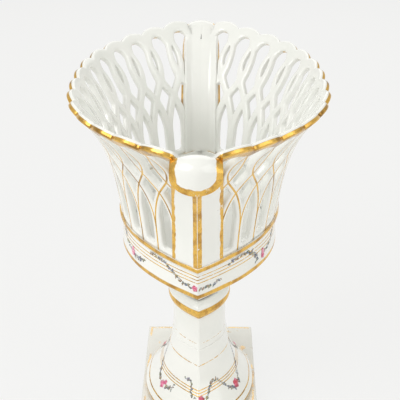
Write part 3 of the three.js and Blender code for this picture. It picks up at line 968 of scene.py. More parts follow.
    def rings(self) -> list[tuple[list[Vector], list[Vector], bool]]:
        """The holes of one period: middle lines, hole outlines and whether they are whole."""
        found = []
        for kind, half in self.halves().items():
            centre = 0.5 if kind in (Outline.LANCET, Outline.DROP) else 0.0

            def opposite(p: Vector, about: float = centre) -> Vector:
                """Mirror image about the hole's middle."""
                return Vector((2.0 * about - p.x, p.y, 0.0))

            near = [pair[0] for pair in half]
            far = [pair[1] for pair in half]
            loop_near = near + [opposite(p) for p in reversed(near[1:-1])]
            loop_far = self.rounded(far + [opposite(p) for p in reversed(far[1:-1])])
            if centre:
                found.append((loop_near, loop_far, True))
                continue
            count = len(half)
            half_near = loop_near[:count]
            half_far = [Vector((max(p.x, 0.0), p.y, 0.0)) for p in loop_far[:count]]
            half_far[0].x = 0.0
            half_far[-1].x = 0.0
            found.append((half_near, half_far, False))
            shift = [Vector((1.0 - p.x, p.y, 0.0)) for p in half_near]
            found.append((shift, [Vector((1.0 - p.x, p.y, 0.0)) for p in half_far], False))
        return found

    def gilt_lines(self) -> list[list[Vector]]:
        """Middle lines of the members of one period, which carry a thin gilt line."""
        halves = self.halves()
        kite = [pair[0] for pair in halves[Outline.KITE]]
        rise = [pair[0] for pair in halves[Outline.SLIT]]
        bar = [Vector((0.0, 0.0, 0.0)), Vector((0.0, self.fork, 0.0))]
        lines = []
        for points in (kite, rise, bar):
            for shift in (0.0, 1.0):
                lines.append([Vector((shift + p.x, p.y, 0.0)) for p in points])
                lines.append([Vector((shift - p.x, p.y, 0.0)) for p in points])
        return lines

    def distance(self, p: Vector) -> float:
        """Distance in metres from a flat point to the nearest gilt line.

        Args:
            p: the flat point.

        Returns:
            The distance.
        """
        best = 1.0
        for points in self.lines:
            for a, b in zip(points, points[1:]):
                if min(a.y, b.y) - 0.06 > p.y or max(a.y, b.y) + 0.06 < p.y:
                    continue
                start = self.size(a - p, p.y)
                step = self.size(b - a, p.y)
                share = min(max(-start.dot(step) / max(step.dot(step), 1e-12), 0.0), 1.0)
                best = min(best, (start + step * share).length)
        return best

    def station(self, k: int) -> tuple[float, float]:
        """Share of the way from a middle line to a hole, and depth, round a member's section."""
        angle = math.pi * k / self.stations
        across = max(math.sin(angle), 0.0) ** (2.0 / self.fullness)
        cosine = math.cos(angle)
        along = math.copysign(abs(cosine) ** (2.0 / self.fullness), cosine)
        return across, 0.5 * self.thickness * (1.0 - along)

    def flat_cell(self) -> bpy.types.Object:
        """One flat period: x in periods, y in heights, z a depth in metres."""
        self.lines = self.gilt_lines()
        points: list[Vector] = []
        faces: list[tuple[int, ...]] = []
        for near, far, whole in self.rings():
            self.add_ring(points, faces, near, far, whole)
        self.add_lip(points, faces)
        line = [self.distance(p) for p in points]
        rim = [(self.edge(p.x) + self.lip() - p.y) * WALL_HEIGHT for p in points]
        return mesh_object("flat_cell", points, faces, {"line": line, "rim": rim})

    def add_ring(
        self, points: list[Vector], faces: list, near: list[Vector], far: list[Vector], whole: bool
    ) -> None:
        """Adds the solid between middle lines and a hole.

        Args:
            points: the cell's points so far.
            faces: the cell's faces so far.
            near: points on the middle lines.
            far: points on the hole's outline.
            whole: whether the solid closes on itself.
        """
        count = len(near)
        start = len(points)
        rows = self.stations + 1
        for a, b in zip(near, far):
            for k in range(rows):
                share, depth = self.station(k)
                spot = a.lerp(b, share)
                points.append(Vector((spot.x, spot.y, depth)))
        for i in range(count if whole else count - 1):
            j = (i + 1) % count
            for k in range(rows - 1):
                a, b = start + i * rows + k, start + j * rows + k
                faces.append((a, b, b + 1, a + 1))
            if abs(near[i].y) < 1e-9 and abs(near[j].y) < 1e-9:
                top, bottom = start + i * rows, start + j * rows
                faces.append((top, top + rows - 1, bottom + rows - 1, bottom))

    def add_lip(self, points: list[Vector], faces: list) -> None:
        """Adds the rounded lip over the free edge.

        Args:
            points: the cell's points so far.
            faces: the cell's faces so far.
        """
        drop = [pair[0] for pair in self.halves()[Outline.DROP]]
        left = drop[-10:]
        run = left + [Vector((1.0 - p.x, p.y, 0.0)) for p in reversed(left[:-1])]
        start = len(points)
        rows = self.stations + 1
        for p in run:
            for k in range(rows):
                share, depth = self.station(k)
                points.append(Vector((p.x, p.y + self.lip() * share, depth)))
        for i in range(len(run) - 1):
            for k in range(rows - 1):
                a, b = start + i * rows + k, start + (i + 1) * rows + k
                faces.append((a, a + 1, b + 1, b))

    def build(self, material: bpy.types.Material) -> list[bpy.types.Object]:
        """Repeats the period, bends it round the bowl and mirrors it to the other side.

        Args:
            material: the porcelain with this piece's gilding.

        Returns:
            The right wall and the left one.
        """
        cell = self.flat_cell()
        wall = mesh_object("pierced_wall_right", [Vector((0.0, 0.0, 0.0))], [])
        recipe = Recipe("pierced wall")
        periods = recipe.ask("Periods", self.periods)
        source = recipe.shape(recipe.ask("Period", cell))
        row = recipe.node(
            "GeometryNodeMeshLine",
            {"mode": "OFFSET", "count_mode": "TOTAL"},
            {"Count": periods, "Offset": (1.0, 0.0, 0.0)},
        )
        copies = recipe.node("GeometryNodeInstanceOnPoints", None, {"Points": row, "Instance": source})
        real = recipe.node("GeometryNodeRealizeInstances", None, {"Geometry": copies})
        welded = recipe.node("GeometryNodeMergeByDistance", None, {"Geometry": real, "Distance": 2e-5})
        place = recipe.node("GeometryNodeInputPosition")
        marked = recipe.keep(welded, "flat", place, "FLOAT_VECTOR")
        recipe.close(WALL_SKIN.bend(recipe, marked, periods), material)
        recipe.run(wall)
        tidy_mesh(wall)
        return [wall, mirrored(wall, "pierced_wall_left", 0)]


@dataclass
class Sheet:
    """A sheet with a thickness, from rows of points on its two faces.

    ridge and border are each point's runs from the ridge and from the edge, and rolled is how
    far each row has rolled over, 0 on the upright part.
    """

    outer: list[list[Vector]] = field(default_factory=list)
    inner: list[list[Vector]] = field(default_factory=list)
    ridge: list[list[float]] = field(default_factory=list)
    border: list[list[float]] = field(default_factory=list)
    rolled: list[float] = field(default_factory=list)

    def add(
        self, outer: list[Vector], inner: list[Vector], ridge: list[float], border: list[float], rolled: float
    ) -> None:
        """Adds a row: its points on both faces, their runs and how far it has rolled over."""
        self.outer.append(outer)
        self.inner.append(inner)
        self.ridge.append(ridge)
        self.border.append(border)
        self.rolled.append(rolled)

    def build(self, name: str) -> bpy.types.Object:
        """Closes the sheet round its edges.

        Args:
            name: name of the object.

        Returns:
            The closed sheet.
        """
        rows, columns = len(self.outer), len(self.outer[0])
        offset = rows * columns
        faces = []
        for r in range(rows - 1):
            for c in range(columns - 1):
                a, b = r * columns + c, (r + 1) * columns + c
                faces.append((a, a + 1, b + 1, b))
                faces.append((offset + a, offset + b, offset + b + 1, offset + a + 1))
        rim = list(range(columns))
        rim += [r * columns + columns - 1 for r in range(1, rows)]
        rim += [(rows - 1) * columns + c for c in range(columns - 2, -1, -1)]
        rim += [r * columns for r in range(rows - 2, 0, -1)]
        for a, b in zip(rim, rim[1:] + rim[:1]):
            faces.append((a, offset + a, offset + b, b))
        flat = [p for row in self.outer for p in row] + [p for row in self.inner for p in row]
        runs = [value for row in self.ridge for value in row]
        edges = [value for row in self.border for value in row]
        rolls = [self.rolled[r] for r in range(rows) for _ in range(columns)]
        sides = [0.0] * offset + [1.0] * offset
        attributes = {"ridge": runs * 2, "border": edges * 2, "rolled": rolls * 2, "inside": sides}
        thing = mesh_object(name, flat, faces, attributes)
        tidy_mesh(thing)
        return thing


@dataclass
class CornerPilaster:
    """Corner of the bowl: two flat faces that meet in a ridge, rolled over into a lobe."""

    thickness: float = 6.0 * MM
    proud: float = 0.35 * MM
    overlap: float = 0.5 * MM
    rows: int = 28
    columns: int = 24
    upright: float = 0.875
    roll_radius: float = 7.5 * MM
    lobe_thickness: float = 4.5 * MM
    lobe_drop: float = 12.0 * MM
    lobe_width: float = 0.95
    lobe_power: float = 1.8
    lobe_crest: float = 6.0 * MM
    crest_fall: float = 4.5 * MM
    start_angle: float = -0.9

    def corner(self, k: float, v: float) -> tuple[Vector, Vector, float]:
        """A point of the outer face, its outward direction and its run from the ridge.

        Args:
            k: place across, from -1 to 1.
            v: share of the height.

        Returns:
            The point, the direction and the run.
        """
        low = abs(k) * (PILASTER_AT_FOOT + self.overlap)
        high = abs(k) * (PILASTER_AT_RIM + self.overlap)
        point = WALL_SKIN.point(low, high, v)
        step = 1.0 * MM
        low_at, high_at = max(low, 2.0 * MM), max(high, 2.0 * MM)
        before = WALL_SKIN.point(low_at - step, high_at - step, v)
        after = WALL_SKIN.point(low_at + step, high_at + step, v)
        level = Vector((after.y - before.y, before.x - after.x, 0.0)).normalized()
        if k < 0.0:
            point.x *= -1.0
            level.x *= -1.0
        return point, level, blend(low, high, WALL_SKIN.share(WALL_SKIN.along, v))

    def square(self, level: Vector, v: float) -> Vector:
        """Direction square to the face at a height, level at the foot."""
        overhang = 48.0 * MM
        slope = WALL_SKIN.slope(WALL_SKIN.along, v)
        angle = math.atan(overhang * slope / WALL_HEIGHT) * smooth(v, 0.0, 0.15)
        return Vector((level.x * math.cos(angle), level.y * math.cos(angle), -math.sin(angle)))

    def build(self, material: bpy.types.Material) -> list[bpy.types.Object]:
        """Makes the front corner and its mirror image at the back.

        Args:
            material: the porcelain with this piece's gilding.

        Returns:
            The front piece and the back one.
        """
        ks = [2.0 * i / self.columns - 1.0 for i in range(self.columns + 1)]
        sheet = Sheet()
        for i in range(self.rows + 1):
            v = self.upright * i / self.rows
            row_out, row_in, run_row, border_row = [], [], [], []
            for k in ks:
                point, level, run = self.corner(k, v)
                square = self.square(level, v)
                if abs(k) < 1e-9:
                    flat = math.hypot(square.x, square.y)
                    square = Vector((0.0, -math.sqrt(2.0) * flat, square.z))
                row_out.append(point + square * self.proud)
                row_in.append(point - square * self.thickness)
                run_row.append(run)
                _, _, half = self.corner(1.0, v)
                border_row.append(half - run)
            limit = row_in[self.columns // 5]
            for p in row_in:
                p.y = max(p.y, blend(p.y, limit.y, 0.9))
                p.z = blend(p.z, limit.z, 0.9)
            sheet.add(row_out, row_in, run_row, border_row, 0.0)
        self.add_roll(ks, sheet)
        front = sheet.build("corner_pilaster_front")
        soften(front, 0.55 * MM, 3, 38.0)
        front.data.materials.clear()
        front.data.materials.append(material)
        return [front, mirrored(front, "corner_pilaster_back", 1)]

    def add_roll(self, ks: list[float], sheet: Sheet) -> None:
        """Adds the stations of the rolled lobe: an arc, then a drop to a round end.

        Args:
            ks: places across, from -1 to 1.
            sheet: the upright part, to which the stations are added.
        """
        roll_steps, drop_steps = 18, 16
        stations = []
        for i in range(roll_steps + 1):
            angle = blend(self.start_angle, 0.5 * math.pi, i / roll_steps)
            stations.append((angle, 0.0, 1.0 if angle < 0.0 else 1.0 - 0.05 * math.sin(angle)))
        for i in range(1, drop_steps + 1):
            t = 0.985 * math.sin(0.5 * math.pi * i / drop_steps)
            width = self.lobe_width * (1.0 - t**self.lobe_power) ** (1.0 / self.lobe_power)
            stations.append((0.5 * math.pi, self.lobe_drop * t, width))
        seam_side = self.corner(1.0, 1.0)[1]
        seam_turn = math.atan2(seam_side.x, -seam_side.y)
        centre = RIM_LEVEL + self.lobe_crest - self.roll_radius
        for index, (angle, fall, width) in enumerate(stations):
            rows = {"in": [], "out": []}
            run_row, border_row = [], []
            ease = smooth(index, 0.0, roll_steps * 0.7)
            for share in ks:
                k = share * width
                round_k = math.sqrt(k * k + (0.3 * ease) ** 2)
                point, _, _ = self.corner(math.copysign(min(round_k, 1.0), k), 1.0)
                flat_point, _, run = self.corner(k, 1.0)
                point.x = flat_point.x
                turn = 0.2 * seam_turn * share
                level_y = self.corner(0.6, 1.0)[0].y
                flatness = blend(0.9, 0.3, smooth(angle, -0.4, 0.5 * math.pi))
                point.y = max(point.y, blend(point.y, level_y, flatness))
                radii = {"in": self.roll_radius, "out": self.roll_radius - self.lobe_thickness}
                for name, radius in radii.items():
                    out = -1.0 * MM + radius * math.sin(angle)
                    x = point.x + out * math.sin(turn)
                    y = point.y - out * math.cos(turn)
                    z = centre + radius * math.cos(angle) - fall - self.crest_fall * k * k
                    rows[name].append(Vector((x, y, z)))
                run_row.append(run)
                sideways = (abs(k) / self.lobe_width) ** self.lobe_power
                downward = (fall / self.lobe_drop) ** self.lobe_power
                reach = min(sideways + downward, 1.0) ** (1.0 / self.lobe_power)
                border_row.append((1.0 - reach) * 12.0 * MM)
            sheet.add(rows["out"], rows["in"], run_row, border_row, index / len(stations) + 0.02)


@dataclass
class GalleryBand:
    """Band under the walls: a gentle ovolo between two fillets."""

    fillet: float = 3.0 * MM
    thickness: float = 7.0 * MM

    def swell(self) -> Plan:
        """Plan at the foot of the painted face."""
        return BAND_BOTTOM_PLAN.grown(1.0 * MM)

    def waist(self) -> Plan:
        """Plan at the head of the painted face."""
        return WALL_FOOT_PLAN.mixed(BAND_BOTTOM_PLAN, 0.5).grown(-1.0 * MM, -1.5 * MM)

    def skin(self) -> Skin:
        """The painted face."""
        height = BAND_TOP - BAND_FOOT - 3.0 * self.fillet
        foot = BAND_FOOT + self.fillet
        return Skin(self.swell(), self.waist(), foot, height, across=1.0, along=1.0, power=2.0)

    def build(self, material: bpy.types.Material) -> bpy.types.Object:
        """Makes the band.

        Args:
            material: the porcelain with this piece's gilding.

        Returns:
            The band.
        """
        top = WALL_FOOT_PLAN.grown(1.0 * MM, 1.3 * MM)
        face = moulding(
            self.swell(),
            BAND_FOOT + self.fillet,
            self.waist(),
            BAND_TOP - 2.0 * self.fillet,
            lambda t: (t, t),
            10,
        )
        rings = [
            BAND_BOTTOM_PLAN.ring(BAND_FOOT),
            self.swell().ring(BAND_FOOT + 0.5 * self.fillet),
            *face,
            top.mixed(self.waist(), 0.3).ring(BAND_TOP - 1.3 * self.fillet),
            top.ring(BAND_TOP - self.fillet),
            top.ring(BAND_TOP - 0.05 * self.fillet),
            WALL_FOOT_PLAN.inset(self.thickness).ring(BAND_TOP),
            BAND_BOTTOM_PLAN.inset(self.thickness).ring(BAND_FOOT),
        ]
        return finished_loft("gallery_band_painted", rings, material, 0.5 * MM, 28.0)


@dataclass
class Underbody:
    """Closed bottom of the bowl: hollowed underneath to its neck, its floor dished inside."""

    bolt_hole: float = 4.2 * MM
    neck_rise: float = 7.0 * MM

    def build(self, material: bpy.types.Material) -> bpy.types.Object:
        """Makes the underbody.

        Args:
            material: the porcelain with this piece's gilding.

        Returns:
            The underbody.
        """
        quarter = 0.5 * math.pi
        step = BAND_BOTTOM_PLAN.inset(7.05 * MM)
        under = moulding(
            NECK_PLAN,
            NECK_FOOT + self.neck_rise,
            BAND_BOTTOM_PLAN.grown(-0.2 * MM),
            BAND_FOOT,
            lambda t: (1.0 - math.cos(quarter * t), math.sin(quarter * t)),
            18,
        )
        inside = moulding(
            step,
            BAND_FOOT + 7.0 * MM,
            FLOOR_PLAN,
            FLOOR_LEVEL,
            lambda t: (t, 0.5 * (1.0 - math.cos(math.pi * t))),
            12,
        )
        rings = [
            round_ring(self.bolt_hole, NECK_FOOT),
            NECK_FOOT_PLAN.ring(NECK_FOOT),
            NECK_FOOT_PLAN.ring(NECK_FOOT + 2.0 * MM),
            NECK_PLAN.grown(0.8 * MM).ring(NECK_FOOT + 3.4 * MM),
            *under,
            step.ring(BAND_FOOT),
            *inside,
            round_ring(self.bolt_hole, FLOOR_LEVEL),
        ]
        return finished_loft("bowl_underbody", rings, material, 0.5 * MM, 32.0)


@dataclass
class Foot:
    """Foot of the basket: gilt collar, stem, bell and plinth."""

    wall: float = 5.5 * MM
    crown: float = 6.0 * MM
    bolt_hole: float = 4.2 * MM
    edge: float = 4.0 * MM
    sweep: float = 1.9

    def skin(self) -> Skin:
        """Outer face of the bell, its height counted down from the stem."""
        drop = BELL_FOOT + self.edge - STEM_FOOT
        return Skin(WAIST_PLAN, BELL_PLAN, STEM_FOOT, drop, across=0.0, along=0.0, power=self.sweep)

    def collar(self, material: bpy.types.Material) -> bpy.types.Object:
        """Round moulding on which the bowl's neck stands.

        Args:
            material: the porcelain with this piece's gilding.

        Returns:
            The collar.
        """
        radius = 0.5 * (COLLAR_TOP - COLLAR_FOOT)
        rings = [round_ring(self.bolt_hole, COLLAR_FOOT)]
        steps = 16
        for i in range(steps + 1):
            angle = blend(-0.5 * math.pi, 0.5 * math.pi, i / steps)
            plan = COLLAR_PLAN.grown(radius * (math.cos(angle) - 1.0))
            rings.append(plan.ring(COLLAR_FOOT + radius * (1.0 + math.sin(angle))))
        rings.append(round_ring(self.bolt_hole, COLLAR_TOP))
        return finished_loft("collar", rings, material, 0.8 * MM, 34.0)

    def stem(self, material: bpy.types.Material) -> bpy.types.Object:
        """Slim pointed-oval column, closed above but for the bolt hole.

        Args:
            material: the porcelain with this piece's gilding.

        Returns:
            The stem.
        """
        quarter = 0.5 * math.pi
        under = COLLAR_FOOT - self.crown
        rings = moulding(
            WAIST_PLAN,
            STEM_FOOT,
            STEM_PLAN,
            under,
            lambda t: (math.sin(quarter * t), 1.0 - math.cos(quarter * t)),
            6,
        )
        rings += [
            STEM_PLAN.ring(COLLAR_FOOT),
            round_ring(self.bolt_hole, COLLAR_FOOT),
            round_ring(self.bolt_hole, under),
            STEM_PLAN.inset(self.wall).ring(under),
            WAIST_PLAN.inset(self.wall).ring(STEM_FOOT),
        ]
        return finished_loft("stem", rings, material, 0.9 * MM, 34.0)

    def bell(self, material: bpy.types.Material) -> bpy.types.Object:
        """Hollow foot, flaring down to a small rolled edge.

        Args:
            material: the porcelain with this piece's gilding.

        Returns:
            The bell.
        """
        toe = 1.5 * MM
        inner = WAIST_PLAN.inset(self.wall)
        rings = [
            BELL_PLAN.grown(-toe).ring(BELL_FOOT),
            BELL_PLAN.ring(BELL_FOOT + toe),
            *moulding(
                BELL_PLAN,
                BELL_FOOT + self.edge,
                WAIST_PLAN,
                STEM_FOOT,
                lambda t: (1.0 - (1.0 - t) ** self.sweep, t),
                24,
            ),
            *moulding(
                inner, STEM_FOOT, BELL_PLAN.inset(self.wall), BELL_FOOT, lambda t: (t**self.sweep, t), 12
            ),
        ]
        return finished_loft("bell", rings, material, 0.8 * MM, 34.0)

    def plinth(self, material: bpy.types.Material) -> bpy.types.Object:
        """Oblong slab, hollow below and open into the bell.

        Args:
            material: the porcelain with this piece's gilding.

        Returns:
            The plinth.
        """
        half_width, half_length = 45.0 * MM, 71.0 * MM
        steps = 72
        opening = BELL_PLAN.inset(self.wall + 3.0 * MM)

        def square_ring(width: float, length: float, z: float) -> list[Vector]:
            """Rectangle with as many points as a plan's ring, facing the same ways."""
            ring = []
            for p in BELL_PLAN.ring(z, steps):
                scale = min(width / max(abs(p.x), 1e-9), length / max(abs(p.y), 1e-9))
                ring.append(Vector((p.x * scale, p.y * scale, z)))
            self.square_up(ring, width, length)
            return ring

        rings = [
            square_ring(half_width, half_length, 0.0),
            square_ring(half_width, half_length, BELL_FOOT),
            opening.ring(BELL_FOOT, steps),
            opening.ring(BELL_FOOT - 6.0 * MM, steps),
            square_ring(half_width - 6.0 * MM, half_length - 6.0 * MM, BELL_FOOT - 6.0 * MM),
            square_ring(half_width - 6.0 * MM, half_length - 6.0 * MM, 0.0),
        ]
        return finished_loft("plinth_slab", rings, material, 1.1 * MM, 34.0, 4)

    @staticmethod
    def square_up(ring: list[Vector], width: float, length: float) -> None:
        """Moves the points nearest the four corners of a rectangle onto them."""
        for x in (width, -width):
            for y in (length, -length):
                nearest = min(ring, key=lambda p: math.hypot(p.x - x, p.y - y))
                nearest.x, nearest.y = x, y


@dataclass(frozen=True)
class Garland:
    """Enamelled flowers, a little raised, on one half of a skin and again at the other end.

    Places are shares along the side from the front corner and shares of the skin's height.
    """

    name: str
    skin: Skin
    side: int
    length: float
    height: float
    courses: tuple[tuple[tuple[float, float], ...], ...]
    roses: tuple[tuple[float, float, float, float], ...]
    spacing: float = 0.72 * MM

    @staticmethod
    def leaf() -> bpy.types.Object:
        """A pointed leaf along x, thickest in its middle."""
        outline = [(-1.0, 0.0), (-0.45, 0.42), (0.2, 0.4), (1.0, 0.0), (0.2, -0.4), (-0.45, -0.42)]
        points = [Vector((1.45 * MM * x, 1.5 * MM * y, 0.0)) for x, y in outline]
        points += [Vector((0.0, 0.0, -0.16 * MM)), Vector((0.0, 0.0, 0.16 * MM))]
        faces = []
        for i in range(6):
            j = (i + 1) % 6
            faces += [(j, i, 6), (i, j, 7)]
        return mesh_object("leaf", points, faces, {"spiral": [0.0] * 8, "rose": [0.0] * 8})

    @staticmethod
    def rose() -> bpy.types.Object:
        """A round flower with curled petals."""
        steps, rings = 30, 6
        points = [Vector((0.0, 0.0, -0.3 * MM)), Vector((0.0, 0.0, 0.2 * MM))]
        spiral = [1.0, 0.0]
        for r in range(1, rings + 1):
            share = r / rings
            for i in range(steps):
                angle = 2.0 * math.pi * i / steps
                curl = math.cos(3.0 * angle - 9.0 * share)
                radius = MM * share * (1.0 + 0.12 * share * math.cos(5.0 * angle))
                level = -0.3 * MM * math.sqrt(1.0 - 0.98 * share**2) * (1.0 + 0.25 * curl * share)
                points.append(Vector((radius * math.cos(angle), radius * math.sin(angle), level)))
                spiral.append(0.5 + 0.5 * curl)
        faces = []
        for i in range(steps):
            j = (i + 1) % steps
            faces.append((0, 2 + j, 2 + i))
            faces.append((1, 2 + (rings - 1) * steps + i, 2 + (rings - 1) * steps + j))
            for r in range(rings - 1):
                a, b = 2 + r * steps, 2 + (r + 1) * steps
                faces.append((a + i, a + j, b + j, b + i))
        return mesh_object("rose", points, faces, {"spiral": spiral, "rose": [1.0] * len(points)})

    def course(self) -> bpy.types.Object:
        """The courses as flat curves in metres."""
        curve = bpy.data.curves.new("course", "CURVE")
        curve.dimensions = "3D"
        for places in self.courses:
            spline = curve.splines.new("POLY")
            spline.points.add(len(places) - 1)
            for knot, (x, y) in zip(spline.points, places):
                knot.co = (x * self.length, y * self.height, 0.0, 1.0)
        return new_object("course", curve)

    def seats(self) -> bpy.types.Object:
        """One point for each rose, with its size and tone."""
        points = [Vector((x * self.length, y * self.height, 0.0)) for x, y, _, _ in self.roses]
        sizes = [1.7 * rose[2] for rose in self.roses]
        tones = [rose[3] for rose in self.roses]
        attributes = {"size": sizes, "tone": tones}
        return mesh_object("seats", points, [], attributes)

    def build(self, material: bpy.types.Material) -> bpy.types.Object:
        """Lays the leaves and roses, bends them onto the skin and repeats them at the other end.

        Args:
            material: the enamel.

        Returns:
            The garland as one mesh.
        """
        thing = mesh_object(self.name, [Vector((0.0, 0.0, 0.0))], [])
        recipe = Recipe(self.name)
        leaf = recipe.shape(recipe.ask("Leaf", self.leaf()))
        rose = recipe.shape(recipe.ask("Rose", self.rose()))
        course = recipe.shape(recipe.ask("Courses", self.course()))
        seats = recipe.shape(recipe.ask("Rose places", self.seats()))
        spacing = recipe.ask("Leaf spacing", self.spacing)
        steps = {"Curve": course, "Length": spacing}
        row = recipe.node("GeometryNodeCurveToPoints", {"mode": "LENGTH"}, steps)
        turn = Wire(recipe, row.socket.node.outputs["Rotation"])
        spread = recipe.ask("Spread", 0.9 * MM)
        shift = recipe.join(recipe.chance(-1.0, 1.0, 1) * spread, recipe.chance(-1.0, 1.0, 2) * spread, 0.0)
        loose = recipe.node("GeometryNodeSetPosition", None, {"Geometry": row, "Offset": shift})
        toned = recipe.keep(loose, "tone", recipe.chance(0.0, 1.0, 3), "FLOAT")
        upright = recipe.join(0.0, 0.0, recipe.chance(-3.14, 3.14, 4))
        size = recipe.chance(0.55, 1.2, 5)
        scatter = {"Points": toned, "Instance": leaf, "Rotation": upright, "Scale": size}
        leaves = recipe.node("GeometryNodeInstanceOnPoints", None, scatter)
        number = {"data_type": "FLOAT"}
        wide = recipe.node("GeometryNodeInputNamedAttribute", number, {"Name": "size"}, "Attribute")
        spots = {"Points": seats, "Instance": rose, "Scale": wide}
        roses = recipe.node("GeometryNodeInstanceOnPoints", None, spots)
        strewn = self.joined(recipe, leaves, roses)
        real = recipe.node("GeometryNodeRealizeInstances", None, {"Geometry": strewn})
        scale = {"Geometry": real, "Scale": (1.0 / self.length, 1.0 / self.height, 1.0)}
        flat = recipe.node("GeometryNodeTransform", None, scale)
        bent = self.skin.bend(recipe, flat, 1.0, 0.02)
        if self.side < 0:
            other = recipe.node("GeometryNodeTransform", None, {"Geometry": bent, "Scale": (-1.0, 1.0, 1.0)})
            bent = recipe.node("GeometryNodeFlipFaces", None, {"Mesh": other})
        rotated = {"Geometry": bent, "Rotation": (0.0, 0.0, math.pi)}
        end = recipe.node("GeometryNodeTransform", None, rotated)
        recipe.close(self.joined(recipe, bent, end), material)
        recipe.run(thing)
        tidy_mesh(thing, 0.0)
        return thing

    @staticmethod
    def joined(recipe: Recipe, *parts: Wire) -> Wire:
        """Several geometries as one."""
        node = recipe.tree.nodes.new("GeometryNodeJoinGeometry")
        for part in parts:
            recipe.tree.links.new(part.socket, node.inputs[0])
        return Wire(recipe, node.outputs[0])


BAND_SWAG_END = ((0.41, 0.93), (0.44, 0.84), (0.46, 0.62), (0.475, 0.42), (0.494, 0.31))


def garlands() -> list[Garland]:
    """The painted garlands of the band and of the foot."""
    band, bell = GalleryBand().skin(), Foot().skin()
    return [
        Garland(
            "garland_band_left",
            band,
            -1,
            235.0 * MM,
            16.0 * MM,
            (
                (
                    (0.186, 0.92), (0.169, 0.96), (0.147, 0.94), (0.124, 0.88), (0.11, 0.78), (0.091, 0.66),
                    (0.076, 0.5), (0.06, 0.37), (0.038, 0.34), (0.02, 0.33), (0.012, 0.31),
                ),
                ((0.327, 0.52), (0.305, 0.43), (0.284, 0.42)),
                ((0.266, 0.24), (0.239, 0.31), (0.209, 0.42)),
                ((0.246, 0.25), (0.215, 0.36)),
                (
                    (0.33, 0.54), (0.352, 0.74), (0.378, 0.9), *BAND_SWAG_END,
                ),
            ),
            ((0.277, 0.34, 1.35, 0.1), (0.281, 0.47, 1.0, 0.0), (0.0095, 0.31, 1.25, 0.9)),
        ),
        Garland(
            "garland_band_right",
            band,
            1,
            235.0 * MM,
            16.0 * MM,
            (
                ((0.008, 0.3), (0.021, 0.28), (0.038, 0.28), (0.053, 0.28), (0.067, 0.34), (0.08, 0.34)),
                ((0.113, 0.85), (0.123, 0.89), (0.136, 0.91), (0.154, 0.96), (0.177, 0.96), (0.204, 0.86)),
                ((0.2, 0.86), (0.212, 0.75), (0.222, 0.6), (0.236, 0.38), (0.243, 0.3), (0.232, 0.28)),
                ((0.214, 0.8), (0.226, 0.64), (0.24, 0.46)),
                ((0.282, 0.4), (0.302, 0.42), (0.321, 0.46), (0.34, 0.56)),
                (
                    (0.34, 0.56), (0.355, 0.75), (0.38, 0.9), *BAND_SWAG_END,
                ),
            ),
            ((0.271, 0.28, 1.25, 1.0), (0.274, 0.45, 1.25, 0.2), (0.4985, 0.29, 1.4, 0.7)),
        ),
        Garland(
            "garland_foot_left",
            bell,
            -1,
            127.0 * MM,
            56.0 * MM,
            (
                (
                    (0.497, 0.3), (0.475, 0.35), (0.462, 0.46), (0.43, 0.57), (0.4, 0.65), (0.378, 0.7),
                    (0.359, 0.75), (0.335, 0.77),
                ),
                ((0.39, 0.68), (0.365, 0.74), (0.34, 0.75)),
                ((0.265, 0.79), (0.243, 0.75), (0.213, 0.74), (0.2, 0.69)),
                ((0.255, 0.77), (0.22, 0.75)),
                (
                    (0.125, 0.5), (0.105, 0.51), (0.077, 0.5), (0.06, 0.54), (0.06, 0.59), (0.06, 0.64),
                    (0.054, 0.69), (0.032, 0.7),
                ),
            ),
            ((0.3, 0.785, 1.9, 0.1), (0.277, 0.735, 1.2, 0.3)),
        ),
        Garland(
            "garland_foot_right",
            bell,
            1,
            127.0 * MM,
            56.0 * MM,
            (
                ((0.497, 0.3), (0.475, 0.35), (0.466, 0.46), (0.42, 0.58), (0.385, 0.65)),
                (
                    (0.165, 0.56), (0.127, 0.54), (0.101, 0.56), (0.088, 0.6), (0.077, 0.66), (0.066, 0.71),
                    (0.045, 0.71), (0.035, 0.7),
                ),
                ((0.178, 0.61), (0.191, 0.64), (0.211, 0.67), (0.23, 0.72), (0.264, 0.77), (0.27, 0.79)),
                ((0.235, 0.74), (0.262, 0.79), (0.29, 0.82)),
                ((0.335, 0.8), (0.344, 0.77), (0.357, 0.74), (0.361, 0.7), (0.376, 0.67)),
                ((0.345, 0.79), (0.352, 0.74)),
            ),
            ((0.307, 0.775, 2.3, 1.0), (0.015, 0.705, 2.1, 0.8)),
        ),
    ]


@dataclass(frozen=True)
class Camera:
    """Camera at the photograph's angle."""

    place: tuple[float, float, float] = (0.00635, -0.54096, 0.44084)
    pitch_down: float = 26.30
    yaw: float = 0.62
    lens: float = 50.0
    sensor: float = 24.0

    def build(self) -> None:
        """Adds the camera and makes it the scene's."""
        data = bpy.data.cameras.new("camera")
        data.lens = self.lens
        data.sensor_fit = "HORIZONTAL"
        data.sensor_width = self.sensor
        data.clip_end = 50.0
        camera = new_object("camera", data)
        camera.location = self.place
        camera.rotation_euler = (math.radians(90.0 - self.pitch_down), 0.0, math.radians(self.yaw))
        bpy.context.scene.camera = camera


